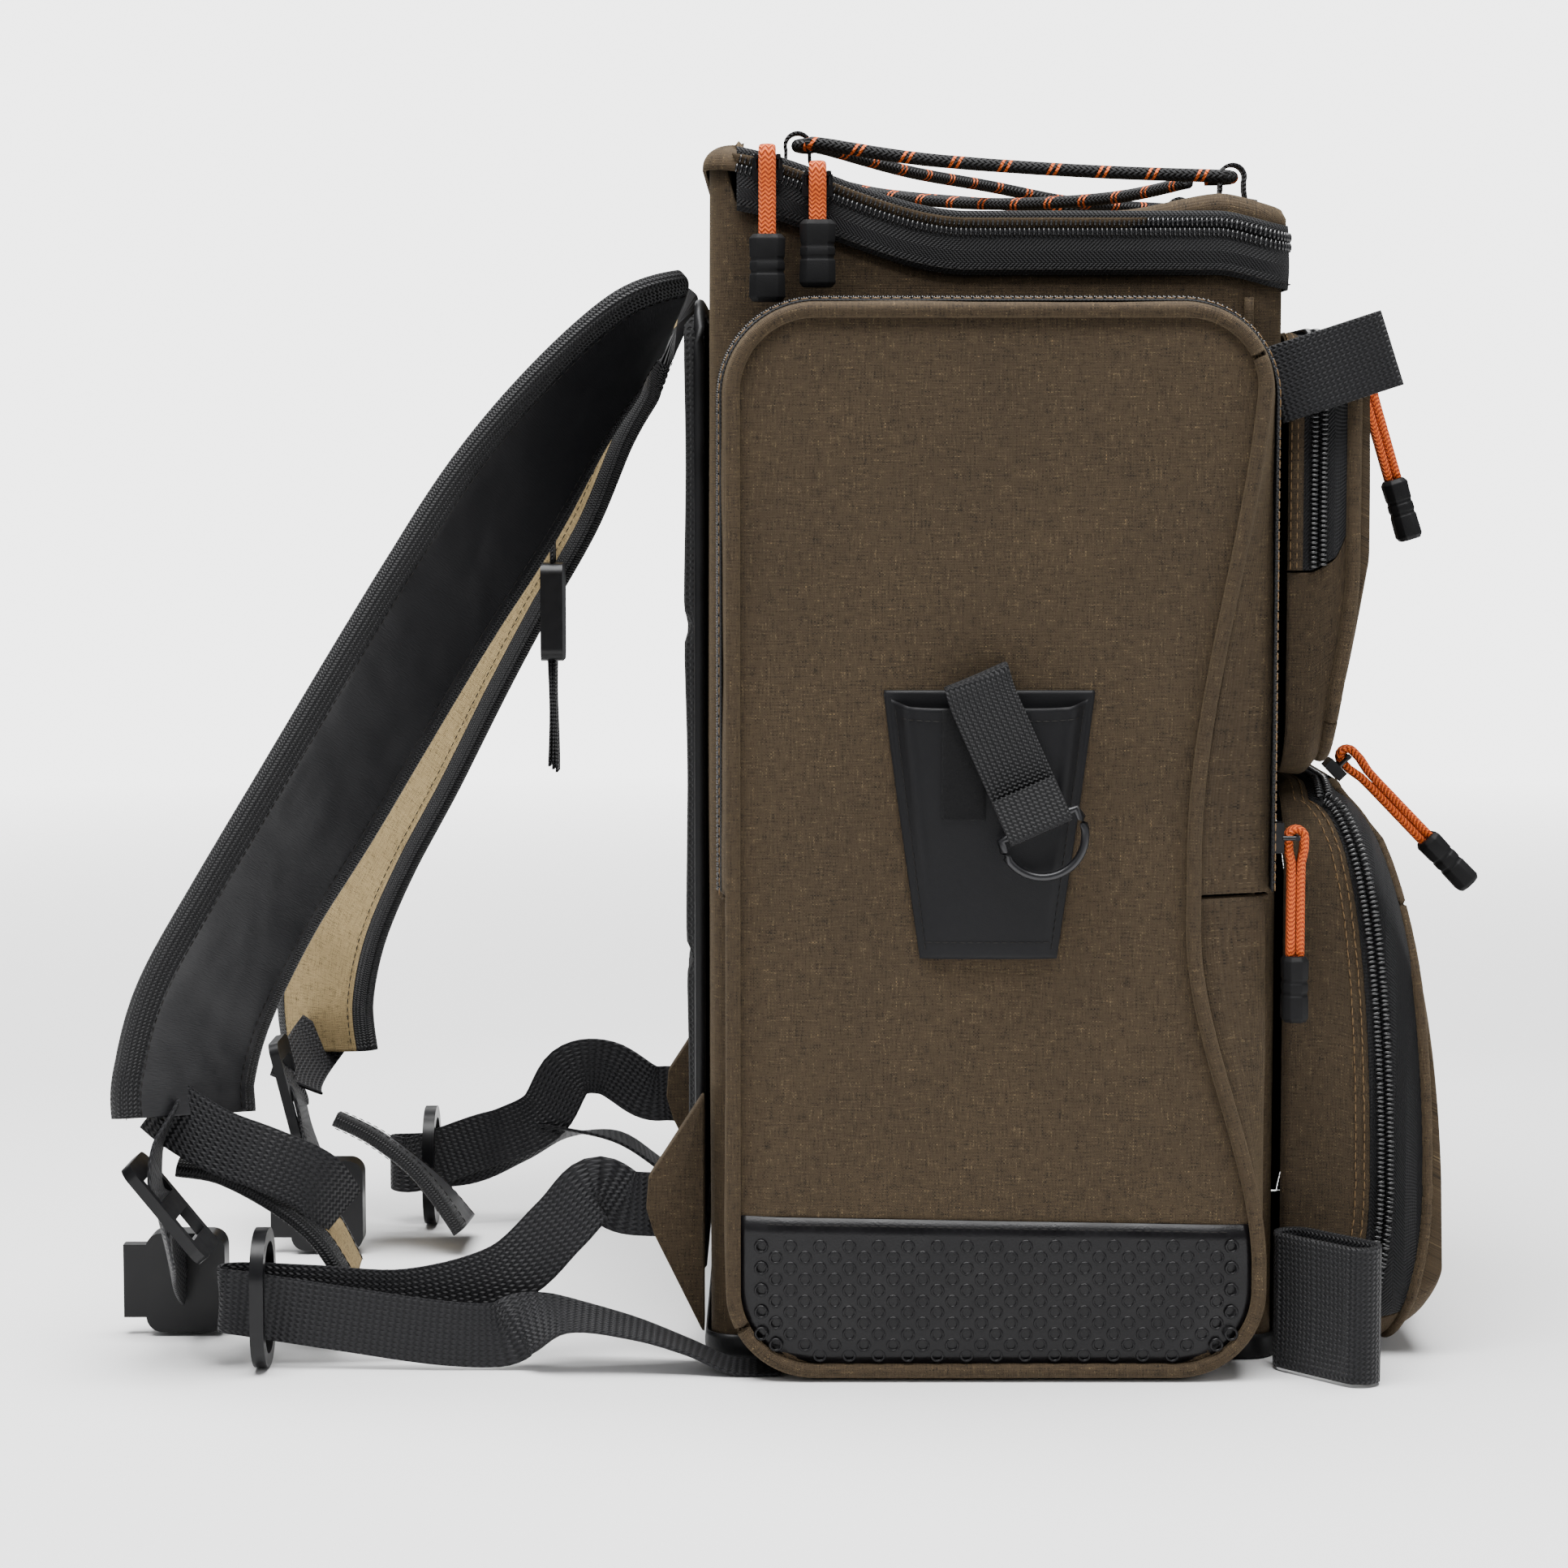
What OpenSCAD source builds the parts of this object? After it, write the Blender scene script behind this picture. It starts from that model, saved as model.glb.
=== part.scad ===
/* [Main compartment] */
// Width of the main compartment, side to side
body_w = 254; // [210:2:310]
// Depth of the main compartment, back to front
body_d = 212; // [176:2:256]
// Height of the lid zip at the middle of the side
body_h = 415; // [405:1:450]
// How much higher the zip ends at the back
back_rise = 24; // [10:1:40]
// Radius of the upright corners
corner_r = 12; // [6:1:20]
// Thickness of the padded walls
wall = 3; // [2:0.5:4]

/* [Lid] */
// Thickness of the lid's top
lid_t = 3; // [2:0.5:4]
// Height of the lid above its zip
lid_rise = 6.5; // [6:0.5:12]
// Width of the zip tape below the coil
tape_w = 17; // [12:1:25]
// Diameter of the elastic cord laced over the lid
bungee_d = 4.8; // [3.5:0.1:6.5]

/* [Side pockets] */
// Depth of a side pocket, measured outwards
side_depth = 33; // [26:1:45]
// Height of a side pocket
side_h = 387; // [360:1:395]
// Radius of its corners
side_r = 32; // [20:1:45]
// Thickness of the pocket cloth
cloth = 2; // [1.5:0.5:3]
// Height at which the side pocket's front folds down
side_fold = 150; // [130:1:152]
// Diameter of the piping
piping_d = 5; // [3:0.5:7]
// Height of the moulded panel along the bottom
kick_h = 60; // [40:1:80]

/* [Front pockets] */
// Width of the two front pockets
front_w = 250; // [200:2:250]
// Depth of the upper front pocket
up_depth = 28.6; // [22:0.2:40]
// Depth of the lower front pocket
low_depth = 59; // [50:1:75]
// Top of the lower front pocket
low_h = 212; // [190:1:213]
// Bottom of the upper front pocket
up_z = 216; // [215:1:230]
// Top of the upper front pocket
up_top = 377; // [360:1:390]
// Height at which the upper pocket's front folds down
up_fold = 292; // [260:1:310]

/* [Straps] */
// Width of the padded shoulder straps
pad_w = 64; // [48:1:78]
// Thickness of the padded shoulder straps
pad_t = 11; // [7:1:14]
// Width of the narrow webbing
web_w = 24; // [18:1:30]
// Thickness of the narrow webbing
web_t = 1.6; // [1.2:0.1:2.4]

/* [Hidden] */
$fn = 48;
gap = 0.3;
coil_out = 1.6;
coil_h = 3.2;
base_t = 3;
back_strip = 12;
zip_end = 176;

hw = body_w / 2;
hd = body_d / 2;
side_x = hw + side_depth;
side_front = hd - 9;
side_back = hd - 8;
side_w = side_front + side_back;
side_zip = hw + 18;
far = 900;

// zip line of the lid: level, up at the back, a little down at the front
function ease(t) = let(u = min(1, max(0, t))) u * u * (3 - 2 * u);
function rim_z(y) = body_h + back_rise * ease((y - 10) / (hd - 10))
                  - 5 * ease((-y / hd - 0.74) / 0.26);
function lid_z(y) = rim_z(y) + lid_rise + 7 * ease((-y - 0.38 * hd) / (0.42 * hd));

// points on an arc in a plane: centre c, radii a across and b up
function arc(c, a, b, from, to, n = 10) =
    [for (i = [0 : n]) let(q = from + (to - from) * i / n) [c[0] + a * cos(q), c[1] + b * sin(q)]];

// swept strip or tube: each section is a list of corners, in the plane across the route
function unit(v) = v / norm(v);
function across(v, t) = unit(v - (v * t) * t);
function at(route, i) = [for (k = [0 : 2]) route[i][k]];
function along(route, i) = unit(at(route, min(i + 1, len(route) - 1)) - at(route, max(i - 1, 0)));
function side_dir(route, i) =
    across([route[i][3], route[i][4], route[i][5]], along(route, i));
module sweep(route, section) {
    n = len(section);
    m = len(route);
    points = [for (i = [0 : m - 1]) let(t = along(route, i), u = side_dir(route, i), v = cross(t, u))
        for (p = section) at(route, i) + p[0] * u + p[1] * v];
    walls = [for (i = [0 : m - 2]) for (j = [0 : n - 1]) let(k = (j + 1) % n)
        each [[i * n + j, i * n + k, (i + 1) * n + j], [i * n + k, (i + 1) * n + k, (i + 1) * n + j]]];
    polyhedron(points, concat(walls,
        [[for (j = [n - 1 : -1 : 0]) j]], [[for (j = [0 : n - 1]) (m - 1) * n + j]]));
}
function flat(w, t) = [[w / 2, -t / 2], [-w / 2, -t / 2], [-w / 2, t / 2], [w / 2, t / 2]];
function padded(w, t) = let(c = t / 2.6)
    [[w / 2 - c, -t / 2], [-w / 2 + c, -t / 2], [-w / 2, 0], [-w / 2 + c, t / 2], [w / 2 - c, t / 2], [w / 2, 0]];
function ring_of(d, n = 8) = [for (i = [n : -1 : 1]) d / 2 * [cos(360 * i / n), sin(360 * i / n)]];
// unit steps between hand-set points, so that a swept shape bends smoothly
function smooth(route, n = 3) = [for (i = [0 : len(route) - 2]) for (j = [0 : n - 1])
    let(t = j / n, a = route[max(i - 1, 0)], b = route[i], c = route[i + 1],
        d = route[min(i + 2, len(route) - 1)])
    0.5 * (2 * b + (c - a) * t + (2 * a - 5 * b + 4 * c - d) * t * t + (3 * b - a - 3 * c + d) * t * t * t),
    route[len(route) - 1]];

module rounded(w, h, r) {
    square([w - 2 * r, h], center = true);
    square([w, h - 2 * r], center = true);
    for (x = [-1, 1], y = [-1, 1]) translate([x * (w / 2 - r), y * (h / 2 - r)]) circle(r);
}
// an outline drawn in the Y-Z plane, carried along X from x0 to x1
module along_x(x0, x1) { translate([x0, 0, 0]) rotate([90, 0, 90]) linear_extrude(x1 - x0) children(); }
// an outline drawn in the X-Z plane, carried forwards from y0
module forwards(y0, d) { translate([0, -y0, 0]) rotate([90, 0, 0]) linear_extrude(d) children(); }
module on_side(s) { if (s > 0) mirror([1, 0, 0]) children(); else children(); }

// ---------------------------------------------------------------- main compartment
function curve(f, from, to, n = 16) = [for (i = [0 : n]) let(y = from + (to - from) * i / n) [y, f(y)]];
module above(f) {
    along_x(-far / 2, far / 2)
        polygon(concat(curve(f, -hd - 8, hd + 8), [[hd + 8, far], [-hd - 8, far]]));
}
module box_ring(out, z0, z1) {
    translate([0, 0, z0]) linear_extrude(z1 - z0) difference() {
        rounded(body_w + 2 * out, body_d + 2 * out, corner_r + out);
        rounded(body_w - 2 * wall, body_d - 2 * wall, corner_r - wall);
    }
}
rim_top = body_h + back_rise + 20;
module back_of(y) { translate([-far / 2, y, 0]) cube([far, far, far]); }

module main_shell() {
    color("#4e3e2a") {
        difference() {
            box_ring(0, base_t, rim_top);
            above(function(y) rim_z(y) - tape_w);
            back_of(hd - back_strip);
        }
        intersection() {
            difference() { box_ring(0, base_t, rim_top); above(function(y) rim_z(y) - gap / 2); }
            back_of(hd - back_strip);
        }
    }
}
module base_panel() { color("#1a191b") linear_extrude(base_t) rounded(body_w, body_d, corner_r); }
module base_board() {
    board = wall + gap;
    color("#2b2b2d") translate([0, 0, base_t]) linear_extrude(4)
        rounded(body_w - 2 * board, body_d - 2 * board, corner_r - board);
}
panel_foot = 26;
panel_head = 390;
panel_side = 22;
panel_t = 4;
module back_panel() {
    color("#131313") translate([0, hd, (panel_head + panel_foot) / 2]) rotate([-90, 0, 0])
        linear_extrude(panel_t) rounded(body_w - 2 * panel_side, panel_head - panel_foot, 20);
}
module back_board() {
    thick = 3;
    color("#2b2b2d") translate([-hw + corner_r, hd - wall - thick, base_t + 5])
        cube([body_w - 2 * corner_r, thick, body_h - 20]);
}
module zip_ring(f0, f1) {
    difference() {
        union() {
            box_ring(0, body_h - 60, rim_top);
            intersection() {
                box_ring(coil_out, body_h - 60, rim_top);
                difference() {
                    above(function(y) rim_z(y) - coil_h);
                    above(function(y) rim_z(y) + coil_h);
                }
            }
        }
        back_of(hd - back_strip);
        above(f1);
        below(f0);
    }
}
module below(f) {
    along_x(-far / 2, far / 2)
        polygon(concat(curve(f, -hd - 8, hd + 8), [[hd + 8, 0], [-hd - 8, 0]]));
}
module body_zip() {
    color("#17171a") zip_ring(function(y) rim_z(y) - tape_w, function(y) rim_z(y) - gap / 2);
}

// ---------------------------------------------------------------- lid
module lid_panel() {
    color("#57462f") difference() {
        translate([0, 0, body_h - 60]) linear_extrude(120) rounded(body_w, body_d, corner_r);
        above(function(y) lid_z(y));
        below(function(y) lid_z(y) - lid_t);
        back_of(hd - back_strip - gap);
    }
}
module lid_zip() {
    color("#17171a") difference() {
        zip_ring(function(y) rim_z(y) + gap / 2, function(y) lid_z(y) - lid_t);
        back_of(hd - back_strip - gap);
    }
}
// webbing loops at the lid's corners, each with a round way through for the cord
loop_x = hw - 33;
loop_y = [hd - 34, -hd + 18];
loop_w = 8;
loop_up = 8;
loop_deep = 13;
loop_bore = bungee_d + 2.8;
module lid_loops() {
    color("#141416") for (s = [-1, 1], y = loop_y) difference() {
        translate([s * loop_x, y, lid_z(y)]) difference() {
            translate([-loop_w / 2, -loop_deep / 2, -0.5])
                cube([loop_w, loop_deep, loop_up + loop_bore / 2 + 1.6]);
            translate([0, 0, loop_up]) rotate([0, 90, 0]) cylinder(d = loop_bore, h = 20, center = true);
        }
        below(function(q) lid_z(q));
    }
}
// the cord: up one side, across, back up the other side and across again
back_z = lid_z(loop_y[0]) + loop_up;
front_z = lid_z(loop_y[1]) + loop_up;
turn = 9;
function turn_at(x, y, z, s, d) = [for (q = [0 : 30 : 180])
    [x - s * turn * cos(q), y + d * turn * sin(q) - d * turn, z, 0, 0, 1]];
bungee_route = concat(
    turn_at(-loop_x, loop_y[1], front_z, -1, -1),
    [[-loop_x - turn, -30, 437, 0, 0, 1], [-loop_x - turn, 25, 441, 0, 0, 1]],
    turn_at(-loop_x, loop_y[0], back_z, 1, 1),
    [[-loop_x + 50, 30, 441, 0, 0, 1], [8, -4, 439, 0, 0, 1], [loop_x - 50, -40, 435, 0, 0, 1]],
    turn_at(loop_x, loop_y[1], front_z, 1, -1),
    [[loop_x + turn, -30, 437, 0, 0, 1], [loop_x + turn, 25, 441, 0, 0, 1]],
    turn_at(loop_x, loop_y[0], back_z, -1, 1),
    [[loop_x - 50, 30, 437, 0, 0, 1], [0, -8, 431.5, 0, 0, 1], [-loop_x + 50, -48, 431, 0, 0, 1],
     [-loop_x + turn + 1, loop_y[1] + turn + 6, front_z - 1, 0, 0, 1]]);
module bungee() { color("#191615") sweep(bungee_route, ring_of(bungee_d)); }

// ---------------------------------------------------------------- zip sliders and pulls
// facing -Y, with the zip's own face at y = 0 and the pull's pin along X
pin_out = 8.8;
pin_d = 1.8;
cord_w = 6;
cord_t = 3.2;
pull_len = 44;
lid_pull_len = [28.5, 17.5];
lid_pin_up = 4;
end_size = [13, 9.4, 24];
slider_lift = coil_out + gap;
module slider(len_x, len_z, pin_up = 0) {
    color("#1c1c1f") {
        translate([-len_x / 2, -slider_lift - 4, -len_z / 2]) cube([len_x, 4, len_z]);
        for (s = [-1, 1]) translate([s * 4, -slider_lift - 3.5, 0]) {
            if (pin_up > 0) cylinder(d = pin_d, h = pin_up);
            translate([0, 0, pin_up]) rotate([90, 0, 0]) cylinder(d = pin_d, h = pin_out - 3.5 + pin_d / 2);
        }
        translate([0, -slider_lift - pin_out, pin_up]) rotate([0, 90, 0]) cylinder(d = pin_d, h = 8 + pin_d, center = true);
    }
}
module pull(len = pull_len) {
    inner = pin_d / 2 + gap;
    translate([0, -slider_lift - pin_out, 0]) {
        color("#e8671c") rotate([90, 0, 90]) translate([0, 0, -cord_w / 2]) linear_extrude(cord_w)
            difference() {
                union() {
                    circle(inner + cord_t);
                    translate([-inner - cord_t, -len]) square([2 * (inner + cord_t), len]);
                }
                circle(inner);
                translate([-inner, -len + 4]) square([2 * inner, len - 4]);
            }
        color("#1e1e20") translate([0, 0, -len - end_size[2] + 1]) linear_extrude(end_size[2])
            polygon([for (s = [[1, 1], [-1, 1], [-1, -1], [1, -1]]) let(a = end_size[0] / 2, b = end_size[1] / 2)
                each s[0] * s[1] > 0 ? [[s[0] * a, s[1] * (b - 2.5)], [s[0] * (a - 2.5), s[1] * b]]
                                     : [[s[0] * (a - 2.5), s[1] * b], [s[0] * a, s[1] * (b - 2.5)]]]);
    }
}
module at_lid(y, up = 0) { translate([-hw, y, rim_z(y) + up]) rotate([0, 0, -90]) children(); }
lid_slide_y = [hd - 23, hd - 41];
module lid_slider_a() { at_lid(lid_slide_y[0]) slider(11, 8, lid_pin_up); }
module lid_slider_b() { at_lid(lid_slide_y[1]) slider(11, 8, lid_pin_up); }
module lid_pull_a() { at_lid(lid_slide_y[0], lid_pin_up) pull(lid_pull_len[0]); }
module lid_pull_b() { at_lid(lid_slide_y[1], lid_pin_up) pull(lid_pull_len[1]); }

// ---------------------------------------------------------------- side pockets, drawn on the -X side
side_mid = (side_back - side_front) / 2;
module side_outline(inset) {
    translate([side_mid, (side_h + 1) / 2]) rounded(side_w - 2 * inset, side_h - 1 - 2 * inset, side_r - inset);
}
module side_skin() {
    difference() {
        along_x(-side_x, -hw) side_outline(0);
        along_x(-side_x + cloth, -hw + 1) side_outline(cloth);
    }
}
module side_coil(x0, x1) {
    difference() {
        along_x(x0, x1) side_outline(-coil_out);
        along_x(x0 - 1, x1 + 1) side_outline(cloth);
    }
}
module side_piping() {
    inset = 2;
    r = side_r - inset;
    y = side_w / 2 - side_r;
    z = (side_h - 1) / 2 - side_r;
    translate([-side_x, side_mid, (side_h + 1) / 2]) {
        for (s = [-1, 1]) {
            translate([0, s * (y + r), -z]) cylinder(d = piping_d, h = 2 * z);
            translate([0, -y, s * (z + r)]) rotate([-90, 0, 0]) cylinder(d = piping_d, h = 2 * y);
        }
        for (q = [0 : 3]) translate([0, q == 0 || q == 3 ? y : -y, q < 2 ? z : -z]) rotate([q * 90, 0, 0])
            rotate([90, 0, 90]) rotate_extrude(angle = 90) translate([r, 0]) circle(d = piping_d, $fn = 32);
    }
}
module z_slab(z0, z1) { translate([-far / 2, -far / 2, z0]) cube([far, far, z1 - z0]); }
module x_slab(x0, x1) { translate([x0, -far / 2, -10]) cube([x1 - x0, far, far]); }
module side_tray() {
    color("#4a3a28") {
        difference() {
            side_skin();
            intersection() { x_slab(-far / 2, -side_zip + gap / 2); z_slab(zip_end, far); }
            intersection() { x_slab(-far / 2, -side_x + cloth + gap); z_slab(side_fold - gap / 2, far); }
        }
        intersection() { side_coil(-side_zip + gap / 2, -side_zip + coil_h); z_slab(zip_end, far); }
        intersection() { side_piping(); z_slab(-10, side_fold - gap / 2); }
    }
}
module side_flap() {
    color("#53422d") {
        intersection() {
            side_skin();
            union() {
                intersection() { x_slab(-far / 2, -side_zip - gap / 2); z_slab(zip_end + gap, far); }
                intersection() { x_slab(-far / 2, -side_x + cloth); z_slab(side_fold + gap / 2, far); }
            }
        }
        intersection() { side_coil(-side_zip - coil_h, -side_zip - gap / 2); z_slab(zip_end + gap, far); }
        intersection() {
            side_piping();
            z_slab(side_fold + piping_d / 2 + gap, far);
            x_slab(-far / 2, -side_x + cloth);
        }
    }
}
module side_tray_L() { on_side(-1) side_tray(); }
module side_tray_R() { on_side(1) side_tray(); }
module side_flap_L() { on_side(-1) side_flap(); }
module side_flap_R() { on_side(1) side_flap(); }
module kick() {
    color("#19171b") intersection() {
        along_x(-side_x - 0.9, -side_x) side_outline(2 + piping_d / 2 + gap);
        z_slab(0, kick_h);
    }
}
module kick_L() { on_side(-1) kick(); }
module kick_R() { on_side(1) kick(); }

side_slider_z = 196;
module at_side() { translate([-side_zip, -side_front, side_slider_z]) children(); }
module side_slider_L() { on_side(-1) at_side() slider(8, 11); }
module side_slider_R() { on_side(1) at_side() slider(8, 11); }
module side_pull_L() { on_side(-1) at_side() pull(); }
module side_pull_R() { on_side(1) at_side() pull(); }

// pliers sheath on the left flap: a flat pocket, wider at its mouth, with a webbing strap over it
sheath_top = [75, 251];
sheath_foot = [49, 154];
sheath_y = 4;
sheath_t = 8.5;
function sheath_outline(t) = let(a = sheath_top[0] / 2 - t, b = sheath_foot[0] / 2 - t, top = sheath_top[1])
    [[sheath_y - a, top], [sheath_y + a, top], [sheath_y + b, sheath_foot[1] + t], [sheath_y - b, sheath_foot[1] + t]];
module sheath() {
    skin = 1.2;
    color("#1e1d20") difference() {
        union() {
            along_x(-side_x - sheath_t, -side_x) polygon(sheath_outline(0));
            // hook-and-loop patch
            translate([-side_x - sheath_t - 0.5, 6, 204]) cube([0.6, 15, 40]);
        }
        along_x(-side_x - sheath_t + skin, -side_x - skin)
            polygon(concat(sheath_outline(2), [[sheath_y - sheath_top[0] / 2 + 2, sheath_top[1] + 1],
                [sheath_y + sheath_top[0] / 2 - 2, sheath_top[1] + 1]]), paths = [[4, 5, 2, 3]]);
    }
}
strap_root = [-side_x - 0.4, 9, 254];
strap_lean = 24;
flap_len = 54;
flap_x = -side_x - sheath_t - 0.5 - gap - web_t / 2;
ring_bar = 1.5;
module sheath_strap() {
    eye = ring_bar + 0.4;
    color("#151517") {
        translate([flap_x - web_t / 2, strap_root[1] - web_w / 2, strap_root[2] - web_t])
            cube([strap_root[0] - flap_x + web_t / 2, web_w, web_t]);
        translate([flap_x, strap_root[1], strap_root[2] - web_t]) rotate([-strap_lean, 0, 0]) difference() {
            union() {
                translate([-web_t / 2, -web_w / 2, -flap_len]) cube([web_t, web_w, flap_len + 3]);
                translate([-1.5, 0, -flap_len]) rotate([90, 0, 0])
                    cylinder(r = eye + 1.2, h = web_w, center = true);
            }
            translate([-1.5, 0, -flap_len]) rotate([90, 0, 0]) cylinder(r = eye, h = web_w + 2, center = true);
            translate([web_t / 2, -web_w, -flap_len - 8]) cube([8, 2 * web_w, flap_len + 20]);
        }
    }
}
module d_ring() {
    half = web_w / 2 + 3;
    color("#26262a") translate([flap_x, strap_root[1], strap_root[2] - web_t]) rotate([-strap_lean, 0, 0])
        translate([-1.5, 0, -flap_len]) {
            rotate([90, 0, 0]) cylinder(r = ring_bar, h = 2 * half, center = true);
            for (s = [-1, 1]) translate([0, s * half, 0]) sphere(r = ring_bar);
            for (s = [-1, 1]) translate([0, s * half, -4]) cylinder(r = ring_bar, h = 4);
            translate([0, 0, -4]) rotate([0, 90, 0]) rotate([0, 0, -90]) rotate_extrude(angle = 180)
                translate([half, 0]) circle(r = ring_bar, $fn = 32);
        }
}

// ---------------------------------------------------------------- front pockets
up_front = hd + up_depth;
up_zip = hd + 11;
function up_profile(t) = concat([[-hd, up_top - t]],
    arc([-up_front + 10, up_top - 10], 10 - t, 10 - t, 90, 180, 5),
    [[-up_front + t, up_fold]],
    arc([-up_front + 18, up_z + 8], 8 - t, 8 - t, 190, 270, 5), [[-hd - 4, up_z + t], [-hd, up_z + 6 + t]]);
module up_block(t) {
    intersection() {
        along_x(-hw, hw) polygon(up_profile(t));
        forwards(hd - t, up_depth + 20) translate([0, (up_top + up_z) / 2])
            rounded(front_w - 2 * t, up_top - up_z - 2 * t, 25 - t);
    }
}
module up_skin() { difference() { up_block(0); up_block(cloth); } }
module in_front(y) { translate([-far / 2, -y - far, -10]) cube([far, far, far]); }
module up_coil(y0, y1) {
    intersection() {
        forwards(y0, y1 - y0) difference() {
            translate([0, (up_top + up_z) / 2])
                rounded(front_w + 2 * coil_out, up_top - up_z + 2 * coil_out, 25 + coil_out);
            translate([0, (up_top + up_z) / 2]) rounded(front_w - 1, up_top - up_z - 1, 24.5);
        }
        z_slab(up_fold + gap, far);
    }
}
module front_up_tray() {
    color("#4a3a28") {
        difference() {
            up_skin();
            intersection() { in_front(up_zip - gap / 2); z_slab(up_fold - gap / 2, far); }
        }
        up_coil(up_zip - coil_h, up_zip - gap / 2);
    }
}
module front_up_flap() {
    color("#53422d") {
        intersection() { up_skin(); in_front(up_zip + gap / 2); z_slab(up_fold + gap / 2, far); }
        up_coil(up_zip + gap / 2, up_zip + coil_h);
    }
}

// lower pocket: a bulging front, parted from its sides by a curved zip
low_fold = 14;
low_mid = 62;
low_step = 16;
low_zip = 22.5;
low_edge = 32;
low_lip = 6;
low_head = 14;
low_r = 30;
function low_profile(t) = concat([[-hd, t]],
    arc([-hd - low_depth + low_r, low_r], low_r - t, low_r - t, 270, 180, 6),
    arc([-hd - low_step, low_mid], low_depth - low_step - t, low_h - low_mid - t, 180, 90, 12),
    [[-hd, low_h - 12 - t]]);
module low_block(t) {
    intersection() {
        along_x(-hw, hw) polygon(low_profile(t));
        forwards(hd - t, low_depth + 20) translate([0, low_h / 2])
            rounded(front_w - 2 * t, low_h - 2 * t, low_r - t);
    }
}
module low_skin() { difference() { low_block(0); low_block(cloth); } }
// everything in front of a curve that runs up the pocket's side, bulge forward of the step
module low_front(bulge, shift, top, z0) {
    y0 = -hd - low_step + shift;
    along_x(-hw - 5, hw + 5) polygon(concat([[y0 - bulge, z0]],
        arc([y0, low_mid], bulge, top - low_mid, 180, 90, 12),
        [[y0, far], [-far, far], [-far, z0]]));
}
module low_coil(y_in, y_out) {
    intersection() {
        forwards(hd, low_depth) difference() {
            translate([0, low_h / 2]) rounded(front_w + 2 * coil_out, low_h + 2 * coil_out, low_r + coil_out);
            translate([0, low_h / 2]) rounded(front_w - 2 * cloth, low_h - 2 * cloth, low_r - cloth);
        }
        along_x(-hw - 5, hw + 5) polygon(concat([[-hd, 0]],
            [[-hd - low_depth, 0], [-hd - low_depth, low_h + 2], [-hd, low_h + 2]]));
        difference() {
            low_front(low_zip, y_in, low_h - 6, low_fold + gap / 2);
            low_front(low_zip, y_out, low_h - 6, low_fold - 5);
        }
        // only as deep as the pocket itself is at that height
        along_x(-hw - 5, hw + 5) polygon(low_profile(-coil_out));
    }
}
low_tape = 8;
module front_low_tray() {
    color("#4a3a28") difference() {
        low_skin();
        low_front(low_zip, low_tape, low_h - 6, low_fold);
    }
}
module front_low_zip() {
    color("#17171a") {
        intersection() {
            low_skin();
            difference() {
                low_front(low_zip, low_tape, low_h - 6, low_fold);
                low_front(low_zip, gap / 2, low_h - 6, low_fold - 1);
            }
        }
        low_coil(coil_h, gap / 2);
    }
}
// the zone of the cloth face inside the zip tape
module low_face(z0) {
    intersection() { low_front(low_edge, -low_lip, low_h - 3, z0); z_slab(0, low_h - low_head); }
}
module front_low_flap_zip() {
    color("#17171a") {
        intersection() {
            low_skin();
            difference() {
                low_front(low_zip, -gap / 2, low_h - 6, low_fold + gap);
                low_face(low_fold);
            }
        }
        low_coil(-gap / 2, -coil_h);
    }
}
module front_low_flap() {
    color("#53422d") intersection() { low_skin(); low_face(low_fold + gap); }
}
plate_tilt = 10;
module front_plate() {
    color("#8d9096") translate([0, -hd - low_depth + 1.6, 136]) rotate([-plate_tilt, 0, 0])
        translate([0, -1.5, 0]) rotate([90, 0, 0]) linear_extrude(1.6) rounded(64, 34, 6);
}
// the pulls of both front pockets hang from sliders near the top of each flap
up_slider = [-40, -up_front, up_top - 12];
low_slider = [-85, -hd - low_step - 5, low_h + 1];
low_lean = -44;
module up_slider() { translate(up_slider) slider(11, 8); }
module up_pull() { translate(up_slider) pull(); }
module low_slider() { translate(low_slider) rotate([low_lean, 0, 0]) slider(11, 8); }
module low_pull() { translate(low_slider) rotate([low_lean, 0, 0]) pull(); }

// ---------------------------------------------------------------- rod straps and rod loops
rod_t = 5;
rod_w = 28;
rod_z = 358;
rod_len = 46;
rod_gap = 2;
module rod_strap() {
    slot = 0.8;
    color("#151416") translate([-hw - rod_gap - rod_t, -hd + 7, rod_z]) rotate([-18, 0, 0]) difference() {
        translate([0, -rod_len, -rod_w / 2]) cube([rod_t, rod_len, rod_w]);
        translate([rod_t / 2 - slot / 2, -rod_len - 1, -rod_w]) cube([slot, rod_len - 5, 2 * rod_w]);
    }
}
module rod_strap_L() { on_side(-1) rod_strap(); }
module rod_strap_R() { on_side(1) rod_strap(); }
module rod_loop() {
    skin = 1.8;
    color("#161618") translate([-hw - 24, -hd - 14, 1]) rotate([0, 0, 41]) linear_extrude(50) difference() {
        rounded(46, 16, 7.9);
        rounded(46 - 2 * skin, 16 - 2 * skin, 7.9 - skin);
    }
}
module rod_loop_L() { on_side(-1) rod_loop(); }
module rod_loop_R() { on_side(1) rod_loop(); }

// ---------------------------------------------------------------- back wings and lower webbing
wing_x = hw - 6;
module wing() {
    color("#45372a") along_x(-wing_x - 5, -wing_x + 5)
        polygon([[hd, 100], [hd + 21, 68], [hd + 22, 56], [hd + 19, 46], [hd, 8]]);
}
module wing_L() { on_side(-1) wing(); }
module wing_R() { on_side(1) wing(); }

// everything on a shoulder strap is placed from the body's back corner on its own side
module at_corner(s) { translate([s * hw, hd, 0]) children(); }

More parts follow.
